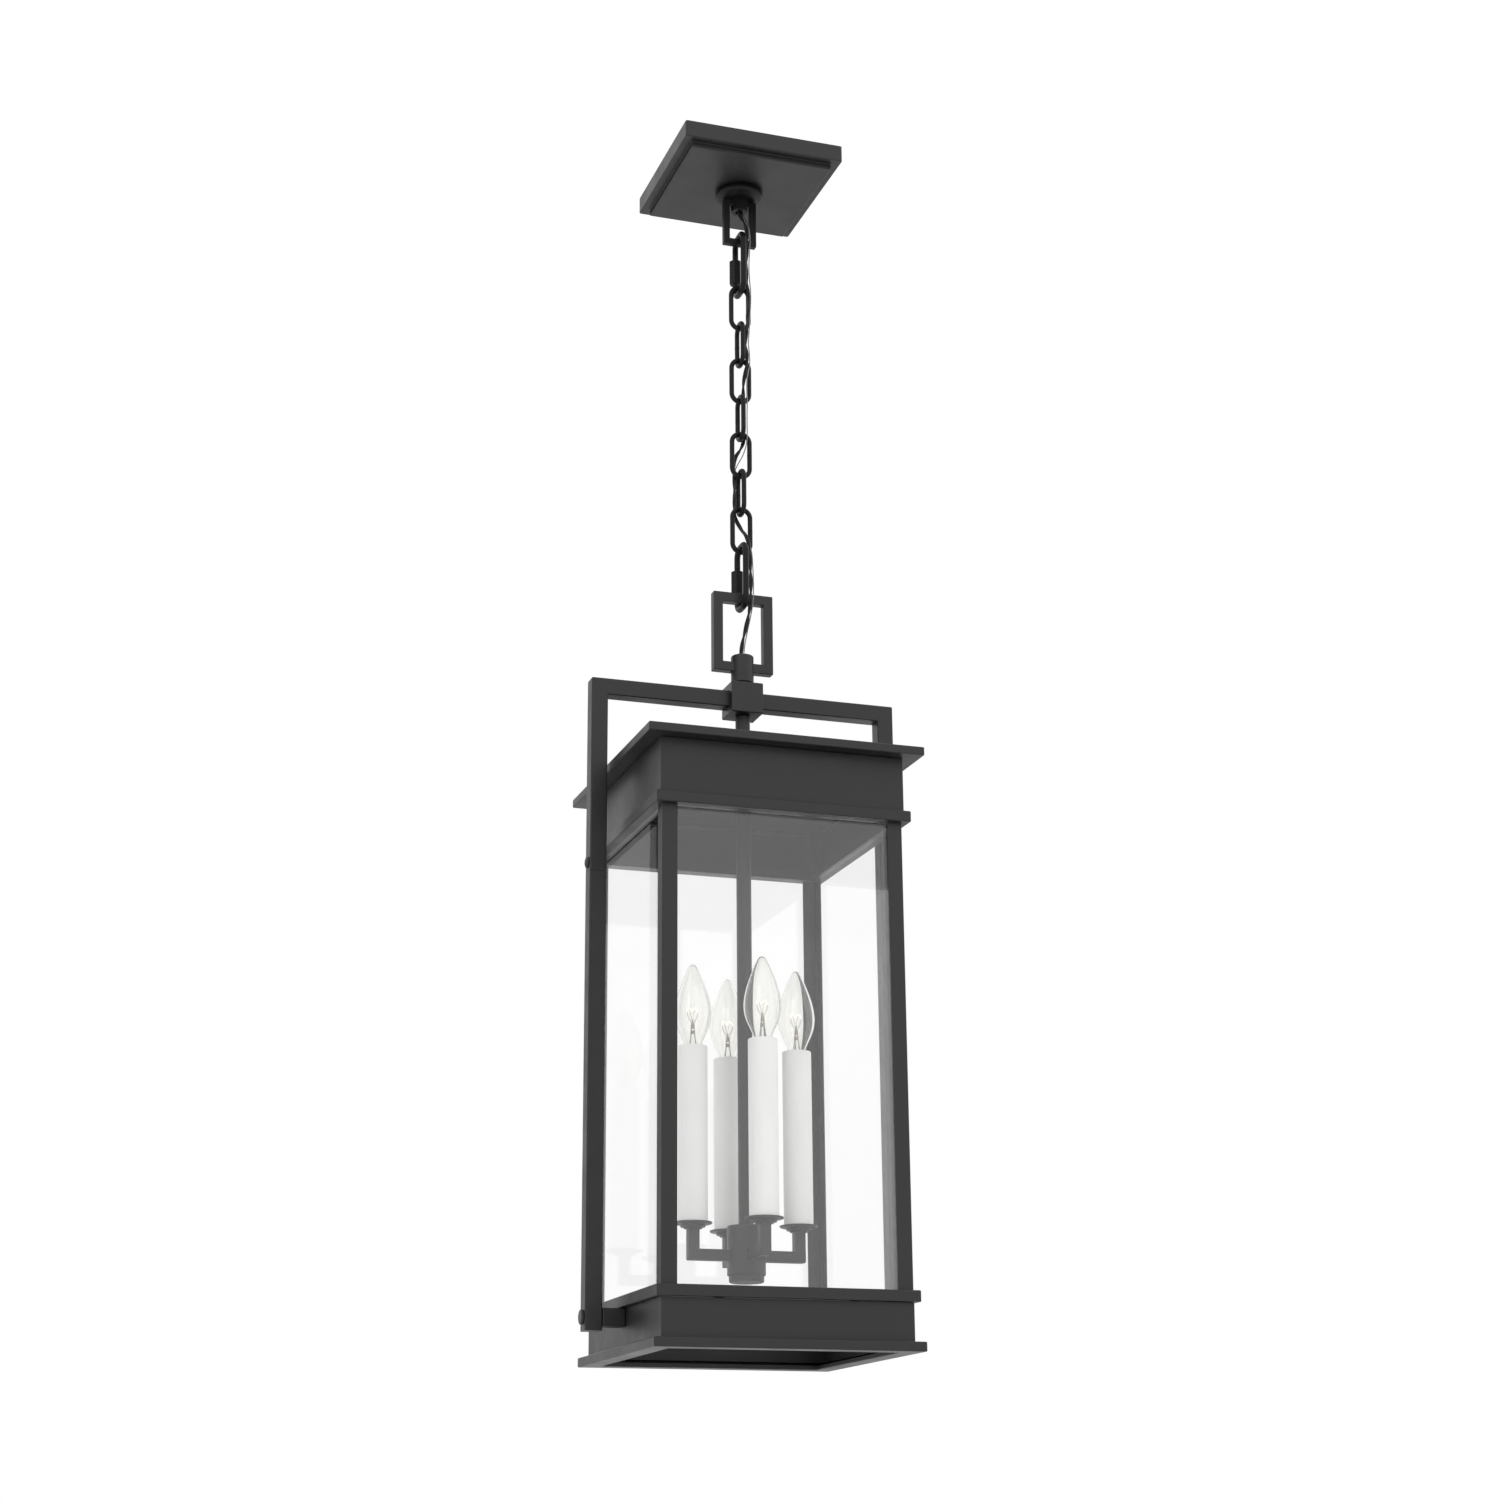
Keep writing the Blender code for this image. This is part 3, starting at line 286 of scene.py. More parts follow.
def bulb_glass(name, colour=(0.972, 0.967, 0.95)):
    """Blown lamp glass that bends light, with painted shade greying it where it is seen edge on; lamps shine
    through it.
    """
    look = Finish(name, colour, 0.0)
    facing = look.nodes.new("ShaderNodeLayerWeight").outputs["Facing"]
    # Painted shade: the glass colour turns grey where it is seen edge on.
    rim = look.spread(facing, 0.0, 1.0, 0.84, 0.98)
    look.drive("Base Color", look.blend(rim, colour, (0.18, 0.18, 0.18)))
    look.shader.inputs["Transmission Weight"].default_value = 1.0
    look.shader.inputs["IOR"].default_value = 1.47
    look.bump(look.noise(9 * MM, 2.0, (1.0, 1.0, 0.3)), 0.1 * MM, 0.08)
    path = look.nodes.new("ShaderNodeLightPath")
    look.show(path.outputs["Is Shadow Ray"], look.shader, look.clear((0.97, 0.97, 0.965)))
    return look.material


def filament_metal(name, glow):
    """Tungsten and lead wire; glow is the strength of its warm light."""
    look = Finish(name, (0.42, 0.4, 0.38), 0.4, 1.0)
    look.mottle(look.noise(0.6 * MM), (0.3, 0.28, 0.26), (0.6, 0.56, 0.5), (0.3, 0.5))
    look.shader.inputs["Emission Color"].default_value = (1.0, 0.82, 0.55, 1.0)
    look.shader.inputs["Emission Strength"].default_value = glow
    return look.material


def plain_floor(name):
    look = Finish(name, (0.76, 0.76, 0.755), 0.7)
    look.mottle(look.noise(0.4, 3.0), (0.75, 0.75, 0.745), (0.77, 0.77, 0.765))
    return look.material


BLACK = black_coat("satin_black_coat")
CHAIN_BLACK = black_coat("chain_black_coat", 0.006, 0.4, 0.7 * MM, 0.2)
ZINC = zinc_plate("zinc_plated_steel")
BRASS = brass("stamped_brass")
WHITE = candle_white("ivory_candle_cover")
JACKET = wire_jacket("black_wire_jacket", (0.006, 0.0055, 0.006))
TINNED = tinned_copper("tinned_earth_wire")
PANE = pane_glass("clear_pane_glass", (0.99, 0.992, 0.99), 0.15 * MM)
BULB = bulb_glass("clear_bulb_glass")
LEAD = filament_metal("lead_wire", 0.0)
GLOW = filament_metal("tungsten_filament", 2.2)

# The finish, body and slot that most pieces share.
LANTERN = (BLACK, "lantern", "black_metal")
CEILING = (ZINC, "ceiling_plate", "zinc_steel")


# ----------------------------------------------------------------- mesh tools

# Where a flat path's first and second coordinate and a bar's width point.
XZ_PLANE = ((1, 0, 0), (0, 0, 1), (0, 1, 0))
ON_AXIS = 1e-4  # a radius under this is none


def box(node):
    """A node's lowest and highest corner in millimetres."""
    low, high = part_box(node)
    return low / MM, high / MM


def centre_of(node):
    low, high = box(node)
    return (low + high) / 2


def joined(*meshes):
    """Several (verts, faces) bodies as one list."""
    verts, faces = [], []
    for part_verts, part_faces in meshes:
        start = len(verts)
        verts += [tuple(v) for v in part_verts]
        faces += [tuple(start + k for k in face) for face in part_faces]
    return verts, faces


def shifted(mesh, offset):
    return [tuple(Vector(v) + Vector(offset)) for v in mesh[0]], mesh[1]


def lifted(outline, z):
    """An outline of (radius, height) points, raised by z."""
    return [(radius, height + z) for radius, height in outline]


def arc_between(one, two, share):
    """The unit vector at a share of the way round from one to two."""
    turn = one.angle(two)
    return (one * math.sin((1 - share) * turn) + two * math.sin(share * turn)) / math.sin(turn)


def fillet(points, radius, steps=3, closed=False):
    """A polyline with its corners rounded; radius is one value or one for each point."""
    count = len(points)
    radii = radius if isinstance(radius, (list, tuple)) else [radius] * count
    rounded = []
    for k in range(count):
        here = Vector(points[k])
        into = (here - Vector(points[k - 1])).normalized()
        away = (Vector(points[(k + 1) % count]) - here).normalized()
        turn = into.angle(away, 0.0)
        if (not closed and k in (0, count - 1)) or radii[k] <= 0 or turn < 1e-3:
            rounded.append(tuple(here))
            continue
        middle = here + (away - into).normalized() * (radii[k] / math.cos(turn / 2))
        reach = radii[k] * math.tan(turn / 2)
        one = (here - into * reach - middle).normalized()
        two = (here + away * reach - middle).normalized()
        rounded += [tuple(middle + arc_between(one, two, j / steps) * radii[k]) for j in range(steps + 1)]
    return rounded


def stacked(rings, closed=False, capped=False):
    """Quads between rings of equal length; a ring of one point is a pole."""
    verts, faces, index = [], [], []
    for ring in rings:
        index.append(list(range(len(verts), len(verts) + len(ring))))
        verts += [tuple(p) for p in ring]
    size = max(len(ring) for ring in rings)
    pairs = list(zip(index, index[1:]))
    if closed:
        pairs.append((index[-1], index[0]))
    for one, two in pairs:
        for k in range(size):
            after = (k + 1) % size
            face = [one[k % len(one)], one[after % len(one)], two[after % len(two)], two[k % len(two)]]
            unique = list(dict.fromkeys(face))
            if len(unique) > 2:
                faces.append(tuple(unique))
    if capped:
        faces += [tuple(index[0]), tuple(index[-1])]
    return verts, faces


def turned(profile, centre=(0, 0), sides=64, closed=False):
    """A body turned about an upright axis from (radius, z) points; a closed profile is a ring."""
    angles = [2 * math.pi * k / sides for k in range(sides)]
    x, y = centre
    rings = []
    for radius, z in profile:
        if radius < ON_AXIS:
            rings.append([(x, y, z)])
        else:
            rings.append([(x + radius * math.cos(a), y + radius * math.sin(a), z) for a in angles])
    return stacked(rings, closed)


def square_ring(half, corner, z, steps=4):
    """A square loop with round corners at one height."""
    corner = min(max(corner, 0.15), half * 0.95)
    points = []
    for quarter, (sx, sy) in enumerate(((1, 1), (-1, 1), (-1, -1), (1, -1))):
        for k in range(steps + 1):
            angle = (quarter + k / steps) * math.pi / 2
            x = sx * (half - corner) + corner * math.cos(angle)
            y = sy * (half - corner) + corner * math.sin(angle)
            points.append((x, y, z))
    return points


def squared(profile, corner, closed=False, steps=4):
    """A square body from (half width, z) points; corner is the radius at the widest point."""
    widest = max(half for half, _ in profile)
    rings = []
    for half, z in profile:
        rings.append([(0, 0, z)] if half < ON_AXIS else square_ring(half, corner + half - widest, z, steps))
    return stacked(rings, closed)


def box_mesh(low, high):
    verts = [(x, y, z) for x in (low[0], high[0]) for y in (low[1], high[1]) for z in (low[2], high[2])]
    faces = [(0, 1, 3, 2), (4, 6, 7, 5), (0, 4, 5, 1), (2, 3, 7, 6), (0, 2, 6, 4), (1, 5, 7, 3)]
    return verts, faces


def soft_box(low, high, radius, steps=2):
    """A box with every edge rounded."""
    work = bmesh.new()
    verts, faces = box_mesh(low, high)
    made = [work.verts.new(v) for v in verts]
    for face in faces:
        work.faces.new([made[k] for k in face])
    bmesh.ops.bevel(
        work, geom=list(work.edges), offset=radius, segments=steps, profile=0.5, affect="EDGES",
        clamp_overlap=True,
    )
    work.verts.index_update()
    mesh = [tuple(v.co) for v in work.verts], [tuple(v.index for v in f.verts) for f in work.faces]
    work.free()
    return mesh


def bar_section(half, corner, steps=3):
    """A square bar's section with round edges, as (outward, across) points."""
    return [point[:2] for point in square_ring(half, corner, 0, steps)]


def bar_sweep(path, rounding, section, axes, closed=False, steps=4):
    """A bar mitred along a flat path whose corners all turn away from outward.

    path holds (u, v) points and axes says where u, v and the bar's width point. rounding is the radius
    of the bar's outer corners. Section points further in than that radius meet at the mitre.
    """
    out, side, across = (Vector(axis) for axis in axes)
    radius = rounding - max(outward for outward, _ in section)
    count = len(path)
    stations = []
    for k in range(count):
        here = Vector(path[k])
        if not closed and k in (0, count - 1):
            ahead = (Vector(path[1]) - here if k == 0 else here - Vector(path[k - 1])).normalized()
            stations.append((here, Vector((-ahead.y, ahead.x)), None))
            continue
        into = (here - Vector(path[k - 1])).normalized()
        away = (Vector(path[(k + 1) % count]) - here).normalized()
        one, two = Vector((-into.y, into.x)), Vector((-away.y, away.x))
        miter = (one + two).normalized()
        miter /= miter.dot(one)
        stations += [(here, arc_between(one, two, j / steps), miter) for j in range(steps + 1)]
    rings = []
    for here, spoke, miter in stations:
        ring = []
        for outward, width in section:
            if miter is None:
                flat = here + spoke * outward
            elif radius + outward > 0.02:
                flat = here - miter * radius + spoke * (radius + outward)
            else:
                flat = here + miter * outward
            ring.append(out * flat.x + side * flat.y + across * width)
        rings.append(ring)
    return stacked(rings, closed, capped=not closed)


def rectangle_bar(half_u, half_v, middle, bar, rounding):
    """A loop of square bar about (0, 0, middle) in the XZ plane; bar is half its thickness."""
    path = [(half_u, half_v), (half_u, -half_v), (-half_u, -half_v), (-half_u, half_v)]
    mesh = bar_sweep(path, rounding, bar_section(bar, rounding - 0.1), XZ_PLANE, closed=True)
    return shifted(mesh, (0, 0, middle))


def tube(points, radius, sides=16, closed=False):
    """A round wire along 3-D points; radius is one value or one for each point."""
    points = [Vector(p) for p in points]
    count = len(points)
    radii = radius if isinstance(radius, (list, tuple)) else [radius] * count
    tangents = []
    for k in range(count):
        before = points[k - 1] if closed or k else points[0]
        after = points[(k + 1) % count] if closed or k < count - 1 else points[-1]
        tangents.append((after - before).normalized())
    normals = [tangents[0].orthogonal().normalized()]
    for k in range(1, count):
        normal = tangents[k - 1].rotation_difference(tangents[k]) @ normals[-1]
        normals.append(normal.normalized())
    if closed:
        back = tangents[-1].rotation_difference(tangents[0]) @ normals[-1]
        twist = math.atan2(back.cross(normals[0]).dot(tangents[0]), back.dot(normals[0]))
        normals = [Matrix.Rotation(twist * k / count, 3, tangents[k]) @ normals[k] for k in range(count)]
    rings = []
    for point, normal, tangent, size in zip(points, normals, tangents, radii):
        other = tangent.cross(normal)
        angles = [2 * math.pi * j / sides for j in range(sides)]
        rings.append([point + (normal * math.cos(a) + other * math.sin(a)) * size for a in angles])
    return stacked(rings, closed, capped=not closed)


def along_x(mesh, z, side=1):
    """Lays a vertical body along X at height z; its old top points outward on that side."""
    return [(side * v[2], v[1], z - side * v[0]) for v in mesh[0]], mesh[1]


def smooth_line(points, step):
    """A Catmull-Rom curve through the points, with a point about every step."""
    points = [Vector(p) for p in points]
    line = []
    last = len(points) - 1
    for k in range(last):
        a, b, c, d = points[max(k - 1, 0)], points[k], points[k + 1], points[min(k + 2, last)]
        parts = max(1, round((c - b).length / step))
        for j in range(parts):
            t = j / parts
            bend = (2 * a - 5 * b + 4 * c - d) * t * t + (3 * b - a - 3 * c + d) * t ** 3
            line.append(0.5 * (2 * b + (c - a) * t + bend))
    line.append(points[-1])
    return line


def mesh_object(name, mesh):
    """An object from (verts, faces), merged where points meet and with its faces turned outward."""
    data = bpy.data.meshes.new(name)
    data.from_pydata([[c * MM for c in v] for v in mesh[0]], [], mesh[1])
    work = bmesh.new()
    work.from_mesh(data)
    bmesh.ops.remove_doubles(work, verts=work.verts, dist=0.004 * MM)
    bmesh.ops.dissolve_degenerate(work, dist=0.002 * MM, edges=work.edges)
    bmesh.ops.recalc_face_normals(work, faces=work.faces)
    work.to_mesh(data)
    work.free()
    item = bpy.data.objects.new(name, data)
    bpy.context.scene.collection.objects.link(item)
    return item


def combine(item, mesh, operation="DIFFERENCE"):
    """Cuts a closed body out of the object, or joins it, and keeps the result as the object's mesh."""
    other = mesh_object("cutter", mesh)
    modifier = item.modifiers.new("combine", "BOOLEAN")
    modifier.operation = operation
    modifier.solver = "EXACT"
    modifier.object = other
    bpy.context.view_layer.update()
    result = bpy.data.meshes.new_from_object(item.evaluated_get(bpy.context.evaluated_depsgraph_get()))
    item.modifiers.clear()
    item.data = result
    bpy.data.objects.remove(other)


def rod(radius, low, high, centre=(0, 0), sides=48):
    """A plain upright cylinder."""
    return turned([(0, low), (radius, low), (radius, high), (0, high)], centre, sides)


def drill(item, radius, low, high, centre=(0, 0), sides=48):
    """Cuts an upright hole right through from low to high."""
    combine(item, rod(radius, low - 1, high + 1, centre, sides))


def smooth(item, material, angle):
    """Gives a mesh its finish and smooth shading up to an angle in degrees."""
    item.data.materials.clear()
    item.data.materials.append(material)
    item.data.shade_smooth()
    item.data.set_sharp_from_angle(angle=math.radians(angle))


def dressed(item, material, body, slot, *nodes, angle=32):
    """Shading, finish and place in the frame for a finished mesh."""
    smooth(item, material, angle)
    weighted = item.modifiers.new("normals", "WEIGHTED_NORMAL")
    weighted.keep_sharp = True
    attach(item, body)
    if nodes:
        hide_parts(*nodes)


def piece(name, mesh, material, body, slot, *nodes, angle=32):
    dressed(mesh_object(name, mesh), material, body, slot, *nodes, angle=angle)


# ---------------------------------------------- sizes used in several places

GAP = 0.3  # between pieces that touch
NIPPLE_HOLE = 5.15  # radii of holes, each round the part it is named after
STUB_HOLE = 8.8
NECK_HOLE = 6.3
CORD_HOLE = 4.5
STEM_HOLE = 7.3
SCREW_HOLE = 2.3
SHEET = 1.2  # canopy and roof
YOKE_BAR = 8  # half the width of the yoke's square tube
ARM_REACH = 50.5  # from the lantern's axis to a candle's


# ---------------------------------------------------------------- ceiling set


def thread_profile(root, crest, low, high, pitch):
    """A screw's outline as ridges, from low to high."""
    points = []
    turns = max(1, int((high - low) / pitch))
    for k in range(turns):
        z = low + k * pitch
        points += [(root, z), (crest, z + pitch * 0.42), (crest, z + pitch * 0.58)]
    points.append((root, low + turns * pitch))
    return points


def make_crossbar():
    """The ceiling strip, with a slot for each screw that holds it up."""
    low, high = box("ceiling_crossbar")
    slot_run = 5
    strip = mesh_object("crossbar", soft_box(low, high, 0.4))
    drill(strip, NIPPLE_HOLE, low.z, high.z)
    drill(strip, SCREW_HOLE, low.z, high.z, centre_of("ground_screw").xy, 24)
    for name in SIDES:
        verts, faces = rod(SCREW_HOLE, low.z - 1, high.z + 1, sides=32)
        slot_x = centre_of("crossbar_screw_" + name).x
        slot = []
        for x, y, z in verts:
            run = math.copysign(slot_run, x) if abs(x) > ON_AXIS else 0
            slot.append((slot_x + x + run, y, z))
        combine(strip, (slot, faces))
    dressed(strip, *CEILING, "ceiling_crossbar")


def machine_screw(node, head_r, material, slot):
    """A pan-head screw pointing up, with a cross recess."""
    low, high = box(node)
    x, y = centre_of(node).xy
    seat = low.z + 2.6
    outline = [(0, low.z), (head_r * 0.6, low.z + 0.1), (head_r, seat - 1), (head_r, seat), (1.7, seat)]
    head = fillet(outline, [0, 1.5, 0.5, 0.25, 0], 4)
    shank = thread_profile(1.65, 2.0, seat + 0.1, high.z - 0.6, 0.7)
    name = node.replace("screw", "screw_look")
    screw = mesh_object(name, turned(head + shank + [(0, high.z)], (x, y), 40))
    for wide, deep in ((0.55, 2.1), (2.1, 0.55)):
        combine(screw, box_mesh((x - wide, y - deep, low.z - 1), (x + wide, y + deep, low.z + 1.3)))
    dressed(screw, material, "ceiling_plate", slot, node, angle=40)


def hex_nut(name, node, across, hole, material, body, slot, centre=(0, 0)):
    """A hexagon with its corners turned off at both ends."""
    low, high = box(node)
    flat, corner = across / 2, across / math.sqrt(3)
    slope = (corner - flat) * 0.62
    face, wide = flat - 0.2, corner + 0.1
    barrel = [
        (0, low.z - 1), (face, low.z - 1), (face, low.z), (wide, low.z + slope),
        (wide, high.z - slope), (face, high.z), (face, high.z + 1), (0, high.z + 1),
    ]
    nut = mesh_object(name, rod(corner, low.z, high.z, centre, 6))
    combine(nut, turned(barrel, centre, 72), "INTERSECT")
    drill(nut, hole, low.z, high.z, centre)
    dressed(nut, material, body, slot, node, angle=24)


def make_ceiling_set():
    make_crossbar()
    machine_screw("crossbar_screw_left", 4, ZINC, "zinc_steel")
    machine_screw("crossbar_screw_right", 4, ZINC, "zinc_steel")
    machine_screw("ground_screw", 3.4, BRASS, "socket_brass")
    low, high = box("threaded_nipple")
    outer = thread_profile(4.55, 4.85, low.z + 0.3, high.z - 0.3, 1)
    inner = [(3.4, high.z), (3.4, low.z)]
    piece("nipple", turned(inner + outer, sides=48, closed=True), *CEILING, "threaded_nipple")
    hex_nut("locknut", "nipple_locknut", 14, NIPPLE_HOLE, *CEILING)


def make_canopy():
    low, high = box("canopy_shell")
    half, bottom, skirt = high.x, low.z, -17
    inner = half - 9.3
    outside = [(0, bottom), (inner, bottom), (inner, skirt), (half, skirt), (half, 0), (half - SHEET, 0)]
    inside = [(half, skirt), (inner, skirt), (inner, bottom)]
    inside = [(x - SHEET, z + SHEET) for x, z in inside]
    corners = (0, 0.9, 0.7, 0.9, 0.25, 0.25, 0.3, 0.4, 0.3, 0)
    profile = fillet(outside + inside + [(0, bottom + SHEET)], corners, 4)
    shell = mesh_object("canopy", squared(profile, 2.2, steps=6))
    drill(shell, STUB_HOLE, bottom, bottom + 2)
    dressed(shell, BLACK, "ceiling_plate", "black_metal", "canopy_shell")


def make_collar():
    low, high = box("collar_ring")
    outline = [
        (STUB_HOLE, high.z), (21, high.z), (high.x, high.z - 1.7), (high.x, high.z - 5.2), (22, high.z - 7.2),
        (14.5, low.z), (STUB_HOLE, low.z),
    ]
    corners = (0, 0.8, 1.2, 1.2, 1.6, 1.2, 0.3)
    ring = turned(fillet(outline, corners, 4, closed=True), sides=96, closed=True)
    piece("collar", ring, CHAIN_BLACK, "collar", "black_metal", "collar_ring")


def make_canopy_loop():
    low, high = box("canopy_loop")
    bar, stub_r, stub_bore, foot = 3.25, 8.5, 4.2, -45.5
    outline = [(0, foot), (stub_r, foot), (stub_r, high.z), (0, high.z)]
    stub = mesh_object("canopy_hanger", turned(fillet(outline, [0, 0.8, 0.5, 0], 4), sides=72))
    top_z, low_z = -36, low.z + bar
    loop = rectangle_bar(high.x - bar, (top_z - low_z) / 2, (top_z + low_z) / 2, bar, 0.8)
    combine(stub, loop, "UNION")
    drill(stub, stub_bore, foot, high.z)
    combine(stub, rod(NIPPLE_HOLE, box("threaded_nipple")[0].z - GAP, high.z + 1))
    dressed(stub, CHAIN_BLACK, "ceiling_plate", "black_metal", "canopy_loop")


# ---------------------------------------------------------------------- chain


def make_quick_link(name, node, body, sleeve_body):
    """A wire link in the YZ plane, open on its +Y side, and its sleeve."""
    low, high = box(node)
    wire, pitch = 3, 1
    half_y, half_z = high.y - wire, (high.z - low.z) / 2 - wire
    middle = centre_of(node).z
    corners = [(half_y, -half_z), (-half_y, -half_z), (-half_y, half_z), (half_y, half_z)]
    threaded_end = [(half_y, -14 - k * pitch / 4) for k in range(33)]
    plain_end = [(half_y, 16 - k * pitch / 4) for k in range(101)]
    points, radii = [], []
    for y, z in threaded_end + fillet(corners, 9, 10, closed=True) + plain_end:
        threaded = y == half_y and (-13.9 > z > -21 or -9.3 < z < 14)
        ridge = 0.93 + 0.07 * math.sin(2 * math.pi * z / pitch)
        points.append((0, y, middle + z))
        radii.append(wire * ridge if threaded else wire)
    piece(name, tube(points, radii, 32), CHAIN_BLACK, body, "black_metal", node, angle=50)
    look = (CHAIN_BLACK, sleeve_body, "black_metal")
    hex_nut(name + "_sleeve", node + "_sleeve", 11, wire + GAP, *look, (0, half_y))


def make_chain_link(number):
    """An oval link with the pinched seam of its butt weld on one leg."""
    node = f"chain_link_{number}"
    low, high = box(node)
    odd = number % 2 == 1
    wire = 2.4
    half_u = (high.x if odd else high.y) - wire
    half_v = (high.z - low.z) / 2 - wire
    middle = centre_of(node).z
    path, radii = [], []
    steps = 28
    for end in (1, -1):
        for k in range(steps + 1):
            angle = math.pi * k / steps
            path.append((end * half_u * math.cos(angle), end * (half_v - half_u + half_u * math.sin(angle))))
            radii.append(wire)
    # Height on the leg, and the wire's radius there against its usual one.
    seam = [(0.2, 0.9), (0.45, 1.03), (0.8, 1.045), (1.6, 1.01), (3, 1), (6, 1), (9, 1)]
    for z, swell in [(-z, swell) for z, swell in reversed(seam)] + [(0, 0.74)] + seam:
        path.append((half_u, z))
        radii.append(wire * swell)
    points = [(u, 0, middle + v) if odd else (0, u, middle + v) for u, v in path]
    mesh = tube(points, radii, 28, closed=True)
    piece(node + "_wire", mesh, CHAIN_BLACK, f"link_{number}", "black_metal", node, angle=60)


# ------------------------------------------------------ lantern loop and yoke


def make_lantern_loop():
    low, high = box("lantern_loop")
    bar, neck_r, collar_r, collar_top, collar_foot = 4.75, 9.5, 11, -527, -555
    neck_foot = box("hub_block")[1].z + GAP
    outline = [
        (0, low.z), (6, low.z), (6, neck_foot), (neck_r, neck_foot), (neck_r, collar_foot),
        (collar_r, collar_foot), (collar_r, collar_top), (0, collar_top),
    ]
    profile = fillet(outline, (0, 0.4, 0.2, 0.4, 0.5, 0.7, 1.6, 0), 4)
    coupling = mesh_object("lantern_hanger", turned(profile, sides=72))
    top, foot = high.z - bar, -544 + bar
    combine(coupling, rectangle_bar(high.x - bar, (top - foot) / 2, (top + foot) / 2, bar, 0.9), "UNION")
    drill(coupling, CORD_HOLE, low.z, collar_top)
    dressed(coupling, *LANTERN, "lantern_loop")


def make_hub_block():
    low, high = box("hub_block")
    cube = mesh_object("yoke_block", soft_box(low, high, 1.1, 4))
    tunnel = YOKE_BAR + GAP
    middle = box("yoke_crossbar")[1].z - YOKE_BAR
    combine(cube, box_mesh((low.x - 1, -tunnel, middle - tunnel), (high.x + 1, tunnel, middle + tunnel)))
    drill(cube, NECK_HOLE, low.z, high.z)
    dressed(cube, *LANTERN, "hub_block")


def make_yoke():
    low, high = box("yoke_crossbar")
    middle, leg = high.z - YOKE_BAR, high.x - YOKE_BAR

    def inverted_u(foot, rounding, half, corner, steps):
        path = [(-leg, foot), (-leg, middle), (leg, middle), (leg, foot)]
        return bar_sweep(path, rounding, bar_section(half, corner, steps), XZ_PLANE)

    bar = mesh_object("yoke_bar", inverted_u(low.z, 1.3, YOKE_BAR, 1.3, 4))
    combine(bar, inverted_u(low.z - 1, 0, 6.5, 0.2, 3))
    drill(bar, NECK_HOLE, high.z - 2 * YOKE_BAR, high.z)
    dressed(bar, *LANTERN, "yoke_crossbar")
    for name, side in SIDES.items():
        make_yoke_leg(name, side * leg, low.z - GAP)


def make_yoke_leg(name, x, top):
    """A leg below the seam, with the spigot that plugs into the bar above."""
    foot, plug = box("yoke_leg_" + name)[0].z, 6.2
    rings = []
    for inset, z in ((0.5, foot), (0.15, foot + 0.15), (0, foot + 0.5), (0, top - 0.3), (0.3, top)):
        rings.append([(x + p[0], p[1], z) for p in square_ring(YOKE_BAR - inset, 1.3 - inset, 0)])
    spigot = soft_box((x - plug, -plug, top - 1), (x + plug, plug, top + 18), 0.4)
    piece("yoke_post_" + name, joined(stacked(rings, capped=True), spigot), *LANTERN, "yoke_leg_" + name)


def make_leg_screws():
    face = box("yoke_crossbar")[1].x + GAP
    for name, side in SIDES.items():
        make_pan_screw(name, side, face)
        make_thumb_screw(name, side, face)


def screw_run(node):
    """The height of a screw that lies along X, and how far from the lantern's axis its tip is."""
    low, high = box(node)
    return centre_of(node).z, min(abs(low.x), abs(high.x))


def make_pan_screw(name, side, face):
    """The slotted screw that pins a leg's spigot."""
    node = "leg_screw_upper_" + name
    z, tip = screw_run(node)
    outline = [(0, face + 2.3), (3.2, face + 2.1), (5.5, face + 0.9), (5.5, face), (1.8, face)]
    profile = fillet(outline, [0, 3, 0.7, 0.2, 0], 5) + [(1.8, tip + 0.5), (0, tip)]
    screw = mesh_object("upper_screw_" + name, along_x(turned(profile, sides=56), z, side))
    near, far = sorted((side * (face + 1.1), side * (face + 4)))
    combine(screw, box_mesh((near, -0.6, z - 7), (far, 0.6, z + 7)))
    dressed(screw, *LANTERN, node, angle=40)


def make_thumb_screw(name, side, face):
    """The knurled head that holds a leg's foot to the base."""
    node = "leg_screw_lower_" + name
    z, tip = screw_run(node)
    head, notch, sides = 6.5, 0.35, 72
    outline = [
        (0, tip), (1.4, tip), (2, tip + 1), (2, face), (head - 0.5, face), (head, face + 0.35),
        (head, face + 1.85), (head - 0.6, face + 2.2), (head - 1.4, face + 2.4), (0, face + 2.4),
    ]
    rings = []
    for radius, height in outline:
        ring = []
        for k in range(sides if radius else 1):
            angle = 2 * math.pi * k / sides
            reach = radius - notch if radius == head and k % 2 else radius
            ring.append((reach * math.cos(angle), reach * math.sin(angle), height))
        rings.append(ring)
    piece("thumb_screw_" + name, along_x(stacked(rings), z, side), *LANTERN, node, angle=25)


def make_standoffs():
    """The spacer blocks between the leg feet and the base."""
    for name, side in SIDES.items():
        node = "standoff_" + name
        low, high = box(node)
        block = mesh_object("spacer_" + name, soft_box(low, high, 0.7, 3))
        near, far = sorted((abs(low.x), abs(high.x)))
        combine(block, along_x(rod(SCREW_HOLE, near - 1, far + 1), centre_of(node).z, side))
        dressed(block, *LANTERN, node)


def make_stem():
    low, high = box("stem_tube")
    outline = [(CORD_HOLE, low.z), (high.x, low.z), (high.x, high.z), (CORD_HOLE, high.z)]
    profile = fillet(outline, 0.3, 2, closed=True)
    piece("stem", turned(profile, closed=True), *LANTERN, "stem_tube")


# ----------------------------------------------------------------------- cage


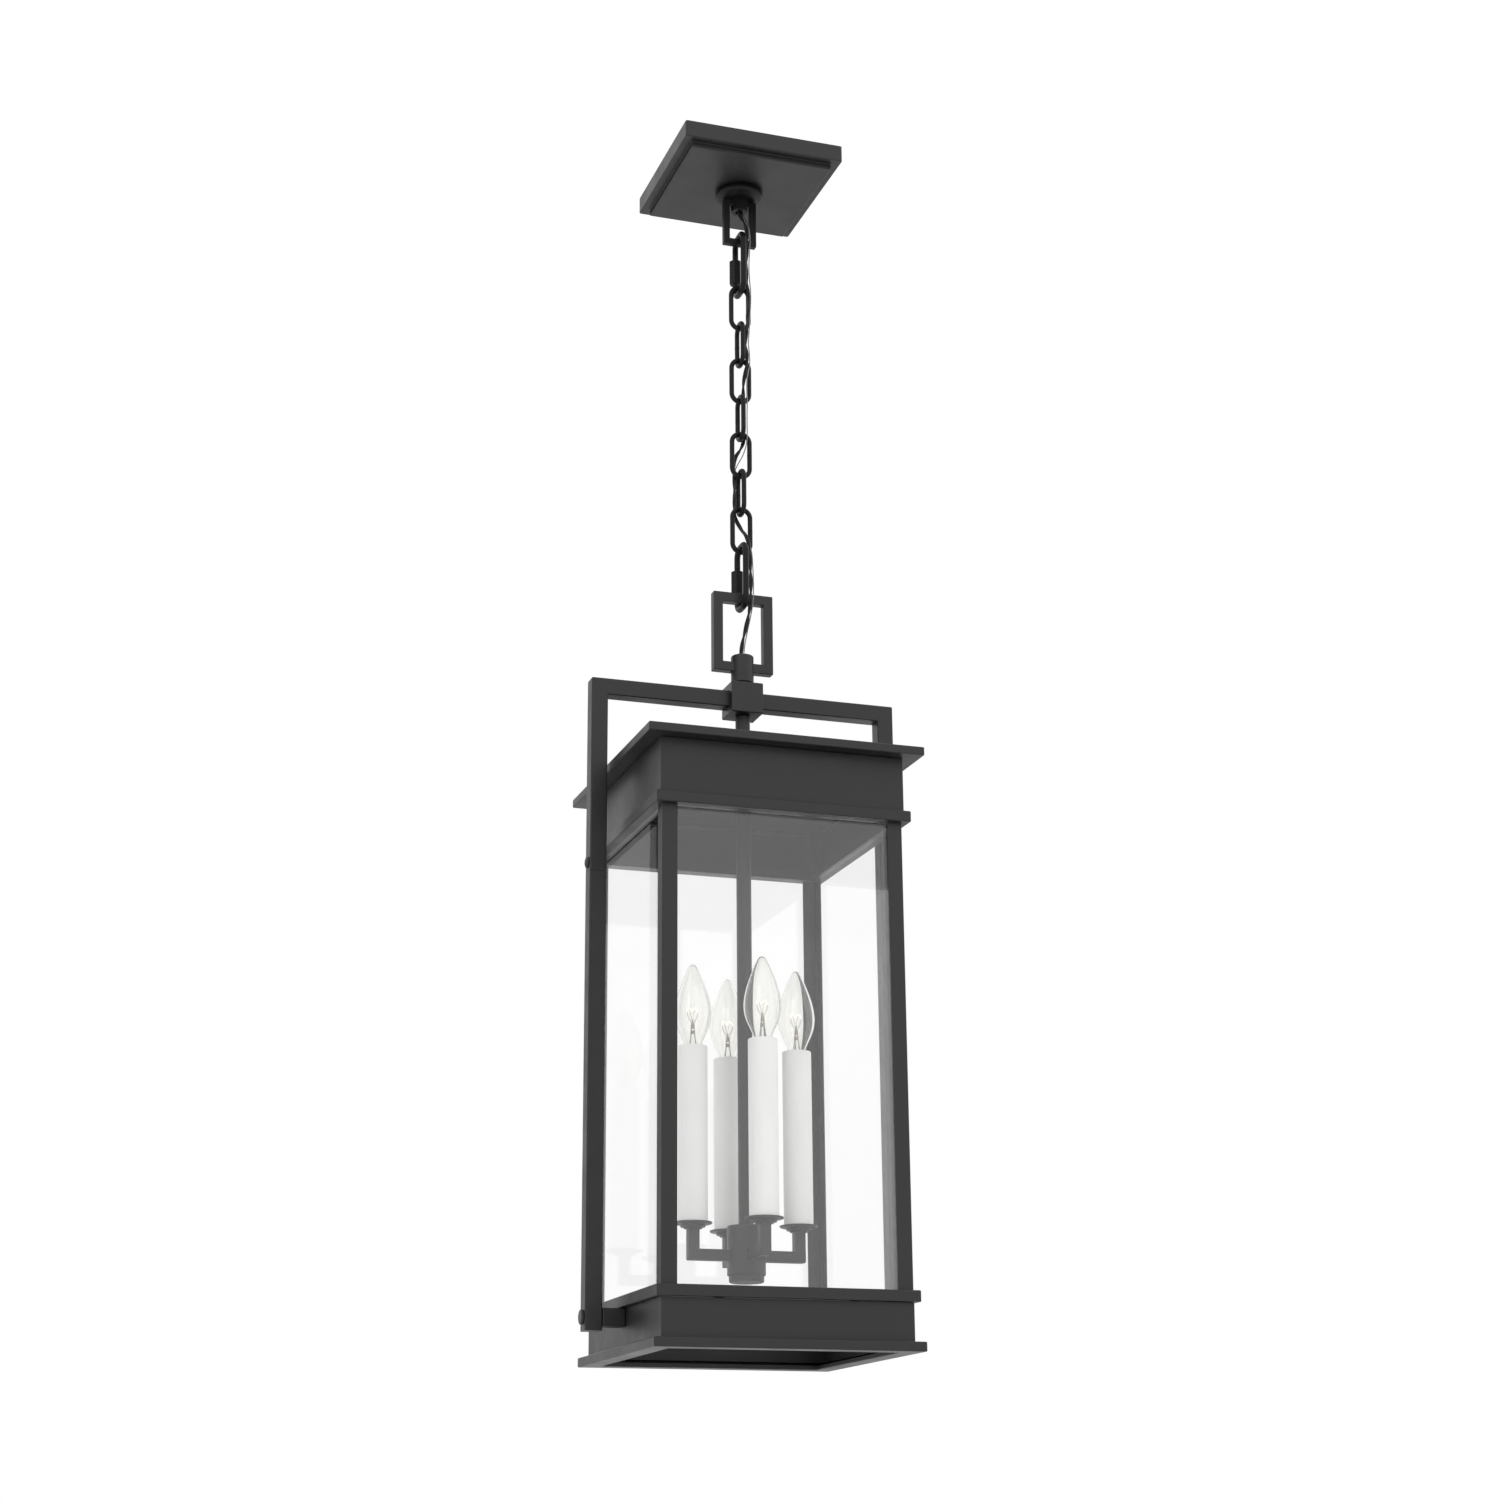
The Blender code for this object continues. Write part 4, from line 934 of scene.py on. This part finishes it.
def make_roof():
    low, high = box("roof_plate")
    half, lip = high.x, 100
    outline = [
        (0, high.z), (half, high.z), (half, low.z), (lip, low.z), (lip, low.z + SHEET),
        (half - SHEET, low.z + SHEET), (half - SHEET, high.z - SHEET), (0, high.z - SHEET),
    ]
    corners = (0, 1, 1, 0.3, 0.3, 0.4, 0.4, 0)
    roof = mesh_object("roof", squared(fillet(outline, corners, 4), 1.6, steps=5))
    drill(roof, STEM_HOLE, low.z, high.z)
    dressed(roof, *LANTERN, "roof_plate")


def make_cap():
    low, high = box("cap_box")
    half, sheet, ceiling = high.x, 1.5, -667
    inner = half - sheet
    outline = [
        (0, ceiling), (inner - 2.4, ceiling), (inner - 2.4, ceiling - 3), (inner, ceiling - 3),
        (inner, low.z), (half, low.z), (half, high.z), (inner, high.z), (inner, ceiling + sheet),
        (0, ceiling + sheet),
    ]
    corners = (0, 0.4, 1.1, 0, 0.3, 0.4, 0.4, 0.3, 0.3, 0)
    cap = mesh_object("cap", squared(fillet(outline, corners), 1.3))
    drill(cap, STEM_HOLE, ceiling, ceiling + 2)
    dressed(cap, *LANTERN, "cap_box")


def corner_post(sign_x, sign_y):
    """An angle-section post with soft edges at one corner of the cage."""
    outer, leg, sheet = 114.8, 14.3, 1.5
    top, foot = -667.3, -1142.5
    near, inner = outer - leg, outer - sheet
    outline = [(outer, outer), (near, outer), (near, inner), (inner, inner), (inner, near), (outer, near)]
    shape = fillet(outline, (0.9, 0.35, 0.35, 0.5, 0.35, 0.35), closed=True)
    return stacked([[(x * sign_x, y * sign_y, z) for x, y in shape] for z in (foot, top)], capped=True)


def make_cage_frame():
    low, high = box("cage_frame")
    for name, inner, outer, top, foot, rounding, corner in (
        ("upper_trim", 107, high.x, -705.4, -715.8, (0.4, 1.2, 1.2, 0.4), 1.6),
        ("sill_trim", 106, 120, -1138.5, low.z, (0.4, 1.1, 0.6, 0.4), 1.5),
    ):
        outline = [(inner, top), (outer, top), (outer, foot), (inner, foot)]
        trim = squared(fillet(outline, rounding, 4, closed=True), corner, closed=True)
        piece(name, trim, *LANTERN, "cage_frame")
    posts = [corner_post(sx, sy) for sx in (-1, 1) for sy in (-1, 1)]
    piece("corner_posts", joined(*posts), *LANTERN, "cage_frame")


def make_base():
    low, high = box("base_skirt")
    flange, half, sheet = high.x, 115, 1.6
    ledge, opening, lip = -1182.5, 105, low.z + 4
    outline = [
        (half, high.z), (half, ledge), (flange, ledge), (flange, low.z), (opening, low.z), (opening, lip),
        (opening + sheet, lip), (opening + sheet, low.z + sheet), (flange - sheet, low.z + sheet),
        (flange - sheet, ledge - sheet), (half - sheet, ledge - sheet), (half - sheet, high.z),
    ]
    corners = (0.3, 0.8, 1.1, 1.1, 0.8, 0.3, 0.3, 0.3, 0.3, 0.4, 0.5, 0.3)
    skirt = mesh_object("base", squared(fillet(outline, corners, 4, closed=True), 1.6, closed=True, steps=5))
    combine(skirt, along_x(rod(SCREW_HOLE, -130, 130), centre_of("leg_screw_lower_left").z))
    dressed(skirt, *LANTERN, "base_skirt")
    make_clips(high.z)


def make_clips(top):
    """Bent tabs inside the base that hold the panes, two to a side."""
    reach, apart, height, shelf_width = 109.5, 62, 17, 4.8
    tabs = []
    for sx, sy in ((1, 0), (-1, 0), (0, 1), (0, -1)):
        outward, sideways = Vector((sx, sy, 0)), Vector((sy, sx, 0))
        half_width = Vector((abs(sy), abs(sx), 0)) * 5
        thick = Vector((abs(sx), abs(sy), 0))
        for along in (-apart, apart):
            foot = outward * reach + sideways * along + Vector((0, 0, top - 9))
            upright = half_width + thick * 0.4
            tabs.append(soft_box(foot - upright, foot + upright + Vector((0, 0, height)), 0.3))
            shelf = half_width + thick * shelf_width / 2
            near = foot - outward * 2
            tabs.append(soft_box(near - shelf, near + shelf + Vector((0, 0, 0.8)), 0.3))
    piece("pane_clips", joined(*tabs), *LANTERN)


def make_panes():
    for name in QUADRANTS:
        node = "glass_" + name
        piece("pane_" + name, soft_box(*box(node), 0.35), PANE, "lantern", "clear_glass", node)


# ------------------------------------------------------------- candle cluster


def make_cluster():
    foot, arm_top = box("cluster_body")[0].z, box("drip_dish_front")[0].z - GAP
    radius, bar, top, arm_z, splice_room_r = 17.5, 5, -1072.8, -1099.75, 12
    outline = [(0, foot), (radius, foot), (radius, top), (0, top)]
    hub = mesh_object("cluster_hub", turned(fillet(outline, [0, 1, 1.6, 0], 4), sides=80))
    path = [(ARM_REACH, arm_top), (ARM_REACH, arm_z), (radius - 2.5, arm_z)]
    for dx, dy in QUADRANTS.values():
        arm = bar_sweep(path, 1.2, bar_section(bar, 0.9), ((dx, dy, 0), (0, 0, 1), (-dy, dx, 0)))
        combine(hub, arm, "UNION")
    seat = box("stem_tube")[0].z
    combine(hub, rod(STEM_HOLE, seat - GAP, top + 1))
    combine(hub, rod(splice_room_r, foot - 1, seat - 6))
    dressed(hub, *LANTERN, "cluster_body")


def make_hub_cap():
    low, high = box("cluster_cap")
    rim = high.z - 3
    outline = [
        (0, low.z), (14.4, low.z), (15.5, low.z + 0.5), (16, low.z + 1.6), (16, rim), (11.6, rim),
        (11.6, high.z), (9.6, high.z), (9.6, rim - 2), (0, rim - 2),
    ]
    profile = fillet(outline, (0, 0.6, 0.8, 0.6, 0.3, 0, 0.2, 0.2, 0, 0), 4)
    piece("hub_cap", turned(profile, sides=80), *LANTERN, "cluster_cap")


def make_candle(name, centre):
    base = box("drip_dish_" + name)[0].z
    top = box("candle_sleeve_" + name)[1].z
    dish = [
        (3.2, 0), (8.4, 0), (8.4, 1.5), (11.4, 1.5), (11.4, 3.6), (16, 4), (17.5, 4.6), (17.5, 6), (16.6, 6),
        (15.4, 5), (3.2, 4.6),
    ]
    corners = (0.2, 0.3, 0.2, 0.4, 0.4, 1, 0.5, 0.4, 0.3, 0.8, 0.2)
    pan = turned(fillet(lifted(dish, base), corners, 4, closed=True), centre, 80, closed=True)
    piece("drip_pan_" + name, pan, *LANTERN, "drip_dish_" + name)
    foot, under, inner, outer, mouth = base + 5.1, top - 1.2, 12.3, 13.5, 9
    outline = [(inner, foot), (outer, foot), (outer, top), (mouth, top), (mouth, under), (inner, under)]
    sleeve = turned(fillet(outline, (0.2, 0.3, 1, 0.4, 0.3, 0.3), 4, closed=True), centre, 80, closed=True)
    piece("candle_tube_" + name, sleeve, WHITE, "lantern", "candle_white", "candle_sleeve_" + name)
    stem = [(0, base), (2.9, base)]
    cup = [(2.9, -47), (8.2, -45), (8.2, -18), (7.4, -18), (6.5, -19), (6.5, -41), (0, -41)]
    socket = turned(fillet(stem + lifted(cup, top), (0, 0.4, 0.6, 1.5, 0.3, 0.2, 0.3, 0.3, 0)), centre, 48)
    piece("lamp_holder_" + name, socket, BRASS, "lantern", "socket_brass", "lamp_socket_" + name)
    make_bulb(name, centre, top)


# Radius and height above the sleeve's top.
BULB_SHAPE = [
    (7.6, -6), (7.95, 0), (9.9, 6), (13.6, 14), (16.2, 21.5), (17.2, 28), (17.0, 35), (15.6, 43.5),
    (12.8, 53), (9.2, 62.5), (6.1, 69.6), (4.2, 73.4), (2.4, 75.6), (0, 76.5),
]


def smooth_outline(points, step):
    """A smooth curve through (radius, height) points that ends on the axis."""
    line = [(max(p.x, 0.0), p.y) for p in smooth_line([(r, z, 0) for r, z in points], step)]
    line[-1] = (0, line[-1][1])
    return line


def blown_shell(outer, wall, centre, sides=72):
    """A turned glass shell of even thickness, closed round its neck."""
    inner = []
    for k, (r, z) in enumerate(outer):
        before, after = outer[max(k - 1, 0)], outer[min(k + 1, len(outer) - 1)]
        slope = Vector((after[0] - before[0], after[1] - before[1])).normalized()
        inner.append((max(r - slope.y * wall, 0.0), z + slope.x * wall))
    inner[-1] = (0, outer[-1][1] - wall)
    verts, faces = turned(outer + inner[::-1], centre, sides)
    last = len(verts) - sides
    for k in range(sides):
        after = (k + 1) % sides
        faces.append((k, after, last + after, last + k))
    return verts, faces


def make_bulb(name, centre, top):
    """A clear torpedo bulb: blown envelope, glass stem, filament on its wires and a brass screw base."""
    body, node = "lamp_" + name, "bulb_" + name
    shell = blown_shell(lifted(smooth_outline(BULB_SHAPE, 1.2), top), 0.55, centre)
    piece("envelope_" + name, shell, BULB, body, "clear_glass", node, angle=80)
    contact = [(0, -40), (2.4, -40), (2.6, -38.6), (4.6, -37.4), (5.8, -35.8)]
    skirt = [(6.0, -16.6), (7.3, -13), (7.95, -8), (8.05, -3.2), (7.4, -3.0), (0, -3.0)]
    outline = fillet(contact, [0, 0.5, 0.3, 0.6, 0]) + thread_profile(5.6, 6.0, -35.5, -17, 1.9) + skirt
    base = turned(lifted(outline, top), centre, 48)
    piece("screw_base_" + name, base, BRASS, body, "socket_brass", node, angle=40)
    stem = smooth_outline([(4.6, -2.8), (3.6, 3), (2.5, 9), (1.9, 15), (1.7, 20), (0, 21.2)], 1)
    stem = turned(lifted([(0, -2.8)] + stem, top), centre, 32)
    piece("glass_stem_" + name, stem, BULB, body, "clear_glass", node, angle=80)
    make_filament(name, (*centre, top), body, node)


def make_filament(name, place, body, node):
    """Lead wires, supports and a coiled filament hung between them in an arch, about place."""
    wires = [tube([(0, 0, 16), (0, 0, 24.5)], [0.9, 0.55], 10), box_mesh((-2.1, -0.5, 11), (2.1, 0.5, 14.5))]
    for side in (-1, 1):
        for points, step, radius in (
            ([(0.9, 0, 19), (1.4, 0, 22), (4.2, 0.4, 27), (5.2, 0, 32)], 0.6, 0.28),
            ([(2.2, 0, -2.6), (1.5, 0, 8), (0.9, 0, 19.2)], 1.2, 0.4),
            ([(0.4, 0, 20.8), (0.8, 1.4, 27), (2.6, 2.2, 35.5)], 0.8, 0.2),
        ):
            wires.append(tube(smooth_line([(side * x, y, z) for x, y, z in points], step), radius, 8))
    piece("mount_wires_" + name, shifted(joined(*wires), place), LEAD, body, "zinc_steel", node, angle=60)
    arch = [(5.2, 0, 32), (4.4, 1.2, 34.8), (2.6, 2.2, 35.6)]
    arch = [(-x, y, z) for x, y, z in arch] + [(0, 2.0, 33.2)] + arch[::-1]
    spine = smooth_line(arch, 0.22)
    coil = []
    for k, point in enumerate(spine):
        tangent = (spine[min(k + 1, len(spine) - 1)] - spine[max(k - 1, 0)]).normalized()
        one = tangent.orthogonal().normalized()
        two = tangent.cross(one)
        angle = k * 2 * math.pi / 5
        coil.append(point + (one * math.cos(angle) + two * math.sin(angle)) * 0.42)
    piece("filament_" + name, shifted(tube(coil, 0.16, 6), place), GLOW, body, "zinc_steel", node, angle=80)


# ---------------------------------------------------------------------- wires

# Points that the insulated pair is threaded through, from the ceiling box to the hub.
CORD_ROUTE = [
    (-1.2, 0, 12), (-1.2, 0, 0), (-1.2, 0, -14), (-1.2, 0, -28), (-1.1, -0.1, -38), (-0.4, -0.8, -46),
    (1.8, -3.0, -54), (4.4, -5.4, -62), (5.8, -6.4, -71), (6.2, -6.6, -80.5), (6.0, -5.6, -93),
    (5.7, -4.6, -108), (5.8, -5.2, -122), (6.6, -6.0, -136), (7.4, -6.2, -150), (6.4, -5.6, -165),
    (5.4, -5.2, -179), (5.0, -2.4, -193), (5.3, -5.0, -206), (5.4, -5.2, -217), (4.2, -3.0, -227),
    (3.6, 0.6, -236), (4.4, 4.2, -246), (5.0, 5.4, -257), (5.0, 5.2, -272), (5.2, 5.4, -288),
    (4.6, 6.6, -299), (1.4, 7.4, -307), (-2.8, 6.6, -314), (-5.2, 5.4, -323), (-5.2, 5.0, -338),
    (-5.2, 4.8, -356), (-5.2, 5.0, -371), (-4.8, 4.4, -380), (-3.2, 2.2, -387), (-0.4, -0.9, -394),
    (2.7, -4.4, -401.5), (5.2, -6.2, -410), (6.4, -6.2, -420), (7.0, -5.8, -433), (7.4, -6.0, -447),
    (7.0, -7.4, -458), (6.4, -7.8, -468), (5.8, -7.0, -478), (4.4, -4.8, -489), (2.4, -2.2, -501),
    (0.2, -0.5, -513), (-1.1, 0, -524), (-1.2, 0, -536), (-1.2, 0, -600), (-1.2, 0, -800),
    (-1.2, 0, -1000), (-1.2, 0, -1082), (-1.2, 0, -1104),
]
# The same for the bare earth wire beside it.
GROUND_ROUTE = [
    (1.6, 0, 12), (1.6, 0, 0), (1.6, 0, -14), (1.6, 0, -28), (1.7, -0.2, -38), (2.4, -1.2, -46),
    (4.8, -3.8, -54), (7.0, -6.4, -62), (8.6, -7.2, -71), (9.0, -7.2, -80.5), (8.8, -6.0, -93),
    (8.4, -5.2, -108), (8.6, -5.8, -122), (9.4, -6.6, -136), (9.8, -5.2, -150), (9.0, -4.6, -165),
    (8.2, -5.0, -179), (7.8, -3.4, -193), (8.0, -5.6, -206), (7.8, -6.6, -217), (6.4, -5.8, -227),
    (5.4, -4.6, -236), (5.2, -4.8, -248), (5.4, -5.2, -260), (5.2, -5.0, -275), (5.2, -5.2, -290),
    (4.9, -4.8, -300), (4.2, -3.0, -307), (2.6, 0.2, -314), (0.0, 3.4, -320), (-2.6, 6.4, -326),
    (-4.6, 8.0, -334), (-5.0, 8.0, -346), (-5.0, 7.8, -360), (-5.0, 7.8, -372), (-4.8, 7.1, -380),
    (-3.5, 5.3, -387), (-1.0, 2.0, -394), (2.9, -0.9, -401), (5.4, -2.9, -406.5), (7.2, -4.4, -412),
    (9.0, -5.2, -421), (9.8, -5.2, -433), (10.2, -5.4, -447), (9.8, -7.0, -458), (9.2, -7.4, -468),
    (8.4, -6.4, -478), (7.0, -3.8, -489), (5.0, -1.6, -501), (3.0, -0.3, -513), (1.8, 0, -524),
    (1.6, 0, -536), (1.6, 0, -600), (1.6, 0, -800), (1.6, 0, -1000), (1.6, 0, -1082), (1.6, 0, -1104),
]
CORE_R, CORE_APART = 1.1, 0.95  # a conductor of the pair, and how far it is from the pair's middle
EARTH_R = 0.55
TWIST_LENGTH = 46
WIRE_STEP = 1.6
CHAIN_LINKS = range(1, 8)
CHAIN_BODIES = ["ceiling_plate", "quick_link_top"] + [f"link_{k}" for k in CHAIN_LINKS]
CHAIN_BODIES += ["quick_link_bottom", "lantern"]


def swing_heights():
    """The height of the joint between each body of the chain and the next."""
    by_child = {joint["child"]: joint for joint in frame["joints"]}
    return [by_child[body]["pos_m"][2] / MM for body in CHAIN_BODIES[1:]]


def wire_pieces(name, lines, radius, sides, material, node):
    """Splits wires into one piece for each joint they cross; the top piece goes with the first body of the
    chain, the bottom piece with the last, and the pieces between stay where they are.
    """
    pivots = swing_heights()
    first_cut, last_cut, reach = -60, -500, 12
    cuts = [first_cut] + [(a + b) / 2 for a, b in zip(pivots, pivots[1:])] + [last_cut]
    bounds = [math.inf] + cuts + [-math.inf]
    for k, (above, below) in enumerate(zip(bounds, bounds[1:])):
        meshes = []
        for line in lines:
            inside = [i for i, p in enumerate(line) if below <= p.z <= above]
            meshes.append(tube(line[max(inside[0] - 1, 0):inside[-1] + 1], radius, sides))
        item = mesh_object(f"{name}_{k}", joined(*meshes))
        smooth(item, material, 60)
        if k == 0:
            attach(item, CHAIN_BODIES[0])
        elif k == len(cuts):
            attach(item, CHAIN_BODIES[-1])
        else:
            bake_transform(item)
        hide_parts(node)


def make_wires():
    middle = smooth_line(CORD_ROUTE, WIRE_STEP)
    pair = ([], [])
    gone = 0.0
    for k, point in enumerate(middle):
        before, after = middle[max(k - 1, 0)], middle[min(k + 1, len(middle) - 1)]
        tangent = (after - before).normalized()
        gone += (point - before).length
        one = (Vector((0, 1, 0)) - tangent * tangent.y).normalized()
        two = tangent.cross(one)
        angle = 2 * math.pi * gone / TWIST_LENGTH
        spoke = (one * math.cos(angle) + two * math.sin(angle)) * CORE_APART
        pair[0].append(point + spoke)
        pair[1].append(point - spoke)
    wire_pieces("cord", pair, CORE_R, 12, JACKET, "supply_cord")
    ground = smooth_line(GROUND_ROUTE, WIRE_STEP)
    wire_pieces("earth_wire", (ground,), EARTH_R, 10, TINNED, "ground_wire")


# --------------------------------------------------------------------- studio


def make_floor():
    reach = 30.0
    data = bpy.data.meshes.new("floor")
    corners = ((-1, -1), (1, -1), (1, 1), (-1, 1))
    data.from_pydata([(x * reach, y * reach, FLOOR_Z) for x, y in corners], [], [(0, 1, 2, 3)])
    item = bpy.data.objects.new("floor", data)
    data.materials.append(plain_floor("pale_floor"))
    bpy.context.scene.collection.objects.link(item)


def make_world():
    """A white room, a little brighter overhead and dimmer on the left; the backdrop itself is plain white."""
    world = bpy.data.worlds.new("studio")
    world.use_nodes = True
    tree = world.node_tree
    axes = tree.nodes.new("ShaderNodeSeparateXYZ")
    tree.links.new(tree.nodes.new("ShaderNodeTexCoord").outputs["Generated"], axes.inputs["Vector"])
    sideways = ramp(tree, axes.outputs["X"], 0.75, 1.0, -0.8, 0.0)
    overhead = ramp(tree, axes.outputs["Z"], 1.0, 1.25, -0.05, 0.45)
    path = tree.nodes.new("ShaderNodeLightPath")
    seen = math_node(tree, "MAXIMUM", path.outputs["Is Camera Ray"], path.outputs["Is Transmission Ray"])
    choice = tree.nodes.new("ShaderNodeMix")
    tree.links.new(seen, choice.inputs["Factor"])
    tree.links.new(math_node(tree, "MULTIPLY", sideways, overhead), choice.inputs["A"])
    choice.inputs["B"].default_value = 1.0
    back = tree.nodes["Background"]
    back.inputs["Color"].default_value = (1.0, 1.0, 1.0, 1.0)
    tree.links.new(choice.outputs["Result"], back.inputs["Strength"])
    bpy.context.scene.world = world


def make_light():
    """A soft panel to the left of the camera."""
    lamp = bpy.data.lights.new("key_panel", "AREA")
    lamp.shape = "SQUARE"
    lamp.size = 1.4
    lamp.energy = 6.0
    item = bpy.data.objects.new("key_panel", lamp)
    bpy.context.scene.collection.objects.link(item)
    place, aim = Vector((-2.0, -2.2, 0.9)), Vector((0, 0, -0.9))
    item.location = place
    item.rotation_euler = (aim - place).to_track_quat("-Z", "Y").to_euler()


CAMERA_PLACE = (-0.7589, -2.2479, -1.3683)
CAMERA_ANGLES = (-18.82, -17.47, -0.45)  # turn, tilt and roll in degrees
CAMERA_LENS = 62.42


def make_camera():
    turn, tilt, roll = (math.radians(angle) for angle in CAMERA_ANGLES)
    level = Vector((math.cos(turn), math.sin(turn), 0))
    back = Vector((math.sin(turn) * math.cos(tilt), -math.cos(turn) * math.cos(tilt), math.sin(tilt)))
    rise = back.cross(level)
    right = level * math.cos(roll) + rise * math.sin(roll)
    up = rise * math.cos(roll) - level * math.sin(roll)
    data = bpy.data.cameras.new("camera")
    data.lens = CAMERA_LENS
    data.sensor_width = 36
    data.clip_start, data.clip_end = 0.05, 50
    item = bpy.data.objects.new("camera", data)
    bpy.context.scene.collection.objects.link(item)
    item.matrix_world = Matrix.Translation(CAMERA_PLACE) @ Matrix((right, up, back)).transposed().to_4x4()
    bpy.context.scene.camera = item


def main():
    bpy.context.scene.view_settings.view_transform = "Standard"
    make_camera()
    make_world()
    make_light()
    make_floor()
    make_wires()
    make_ceiling_set()
    make_canopy()
    make_collar()
    make_canopy_loop()
    make_quick_link("quick_link_top_wire", "quick_link_upper", "quick_link_top", "quick_sleeve_top")
    for number in CHAIN_LINKS:
        make_chain_link(number)
    make_quick_link("quick_link_bottom_wire", "quick_link_lower", "quick_link_bottom", "quick_sleeve_bottom")
    make_lantern_loop()
    make_hub_block()
    make_yoke()
    make_leg_screws()
    make_standoffs()
    make_stem()
    make_roof()
    make_cap()
    make_cage_frame()
    make_base()
    make_panes()
    make_cluster()
    make_hub_cap()
    for name, (dx, dy) in QUADRANTS.items():
        make_candle(name, (dx * ARM_REACH, dy * ARM_REACH))


main()
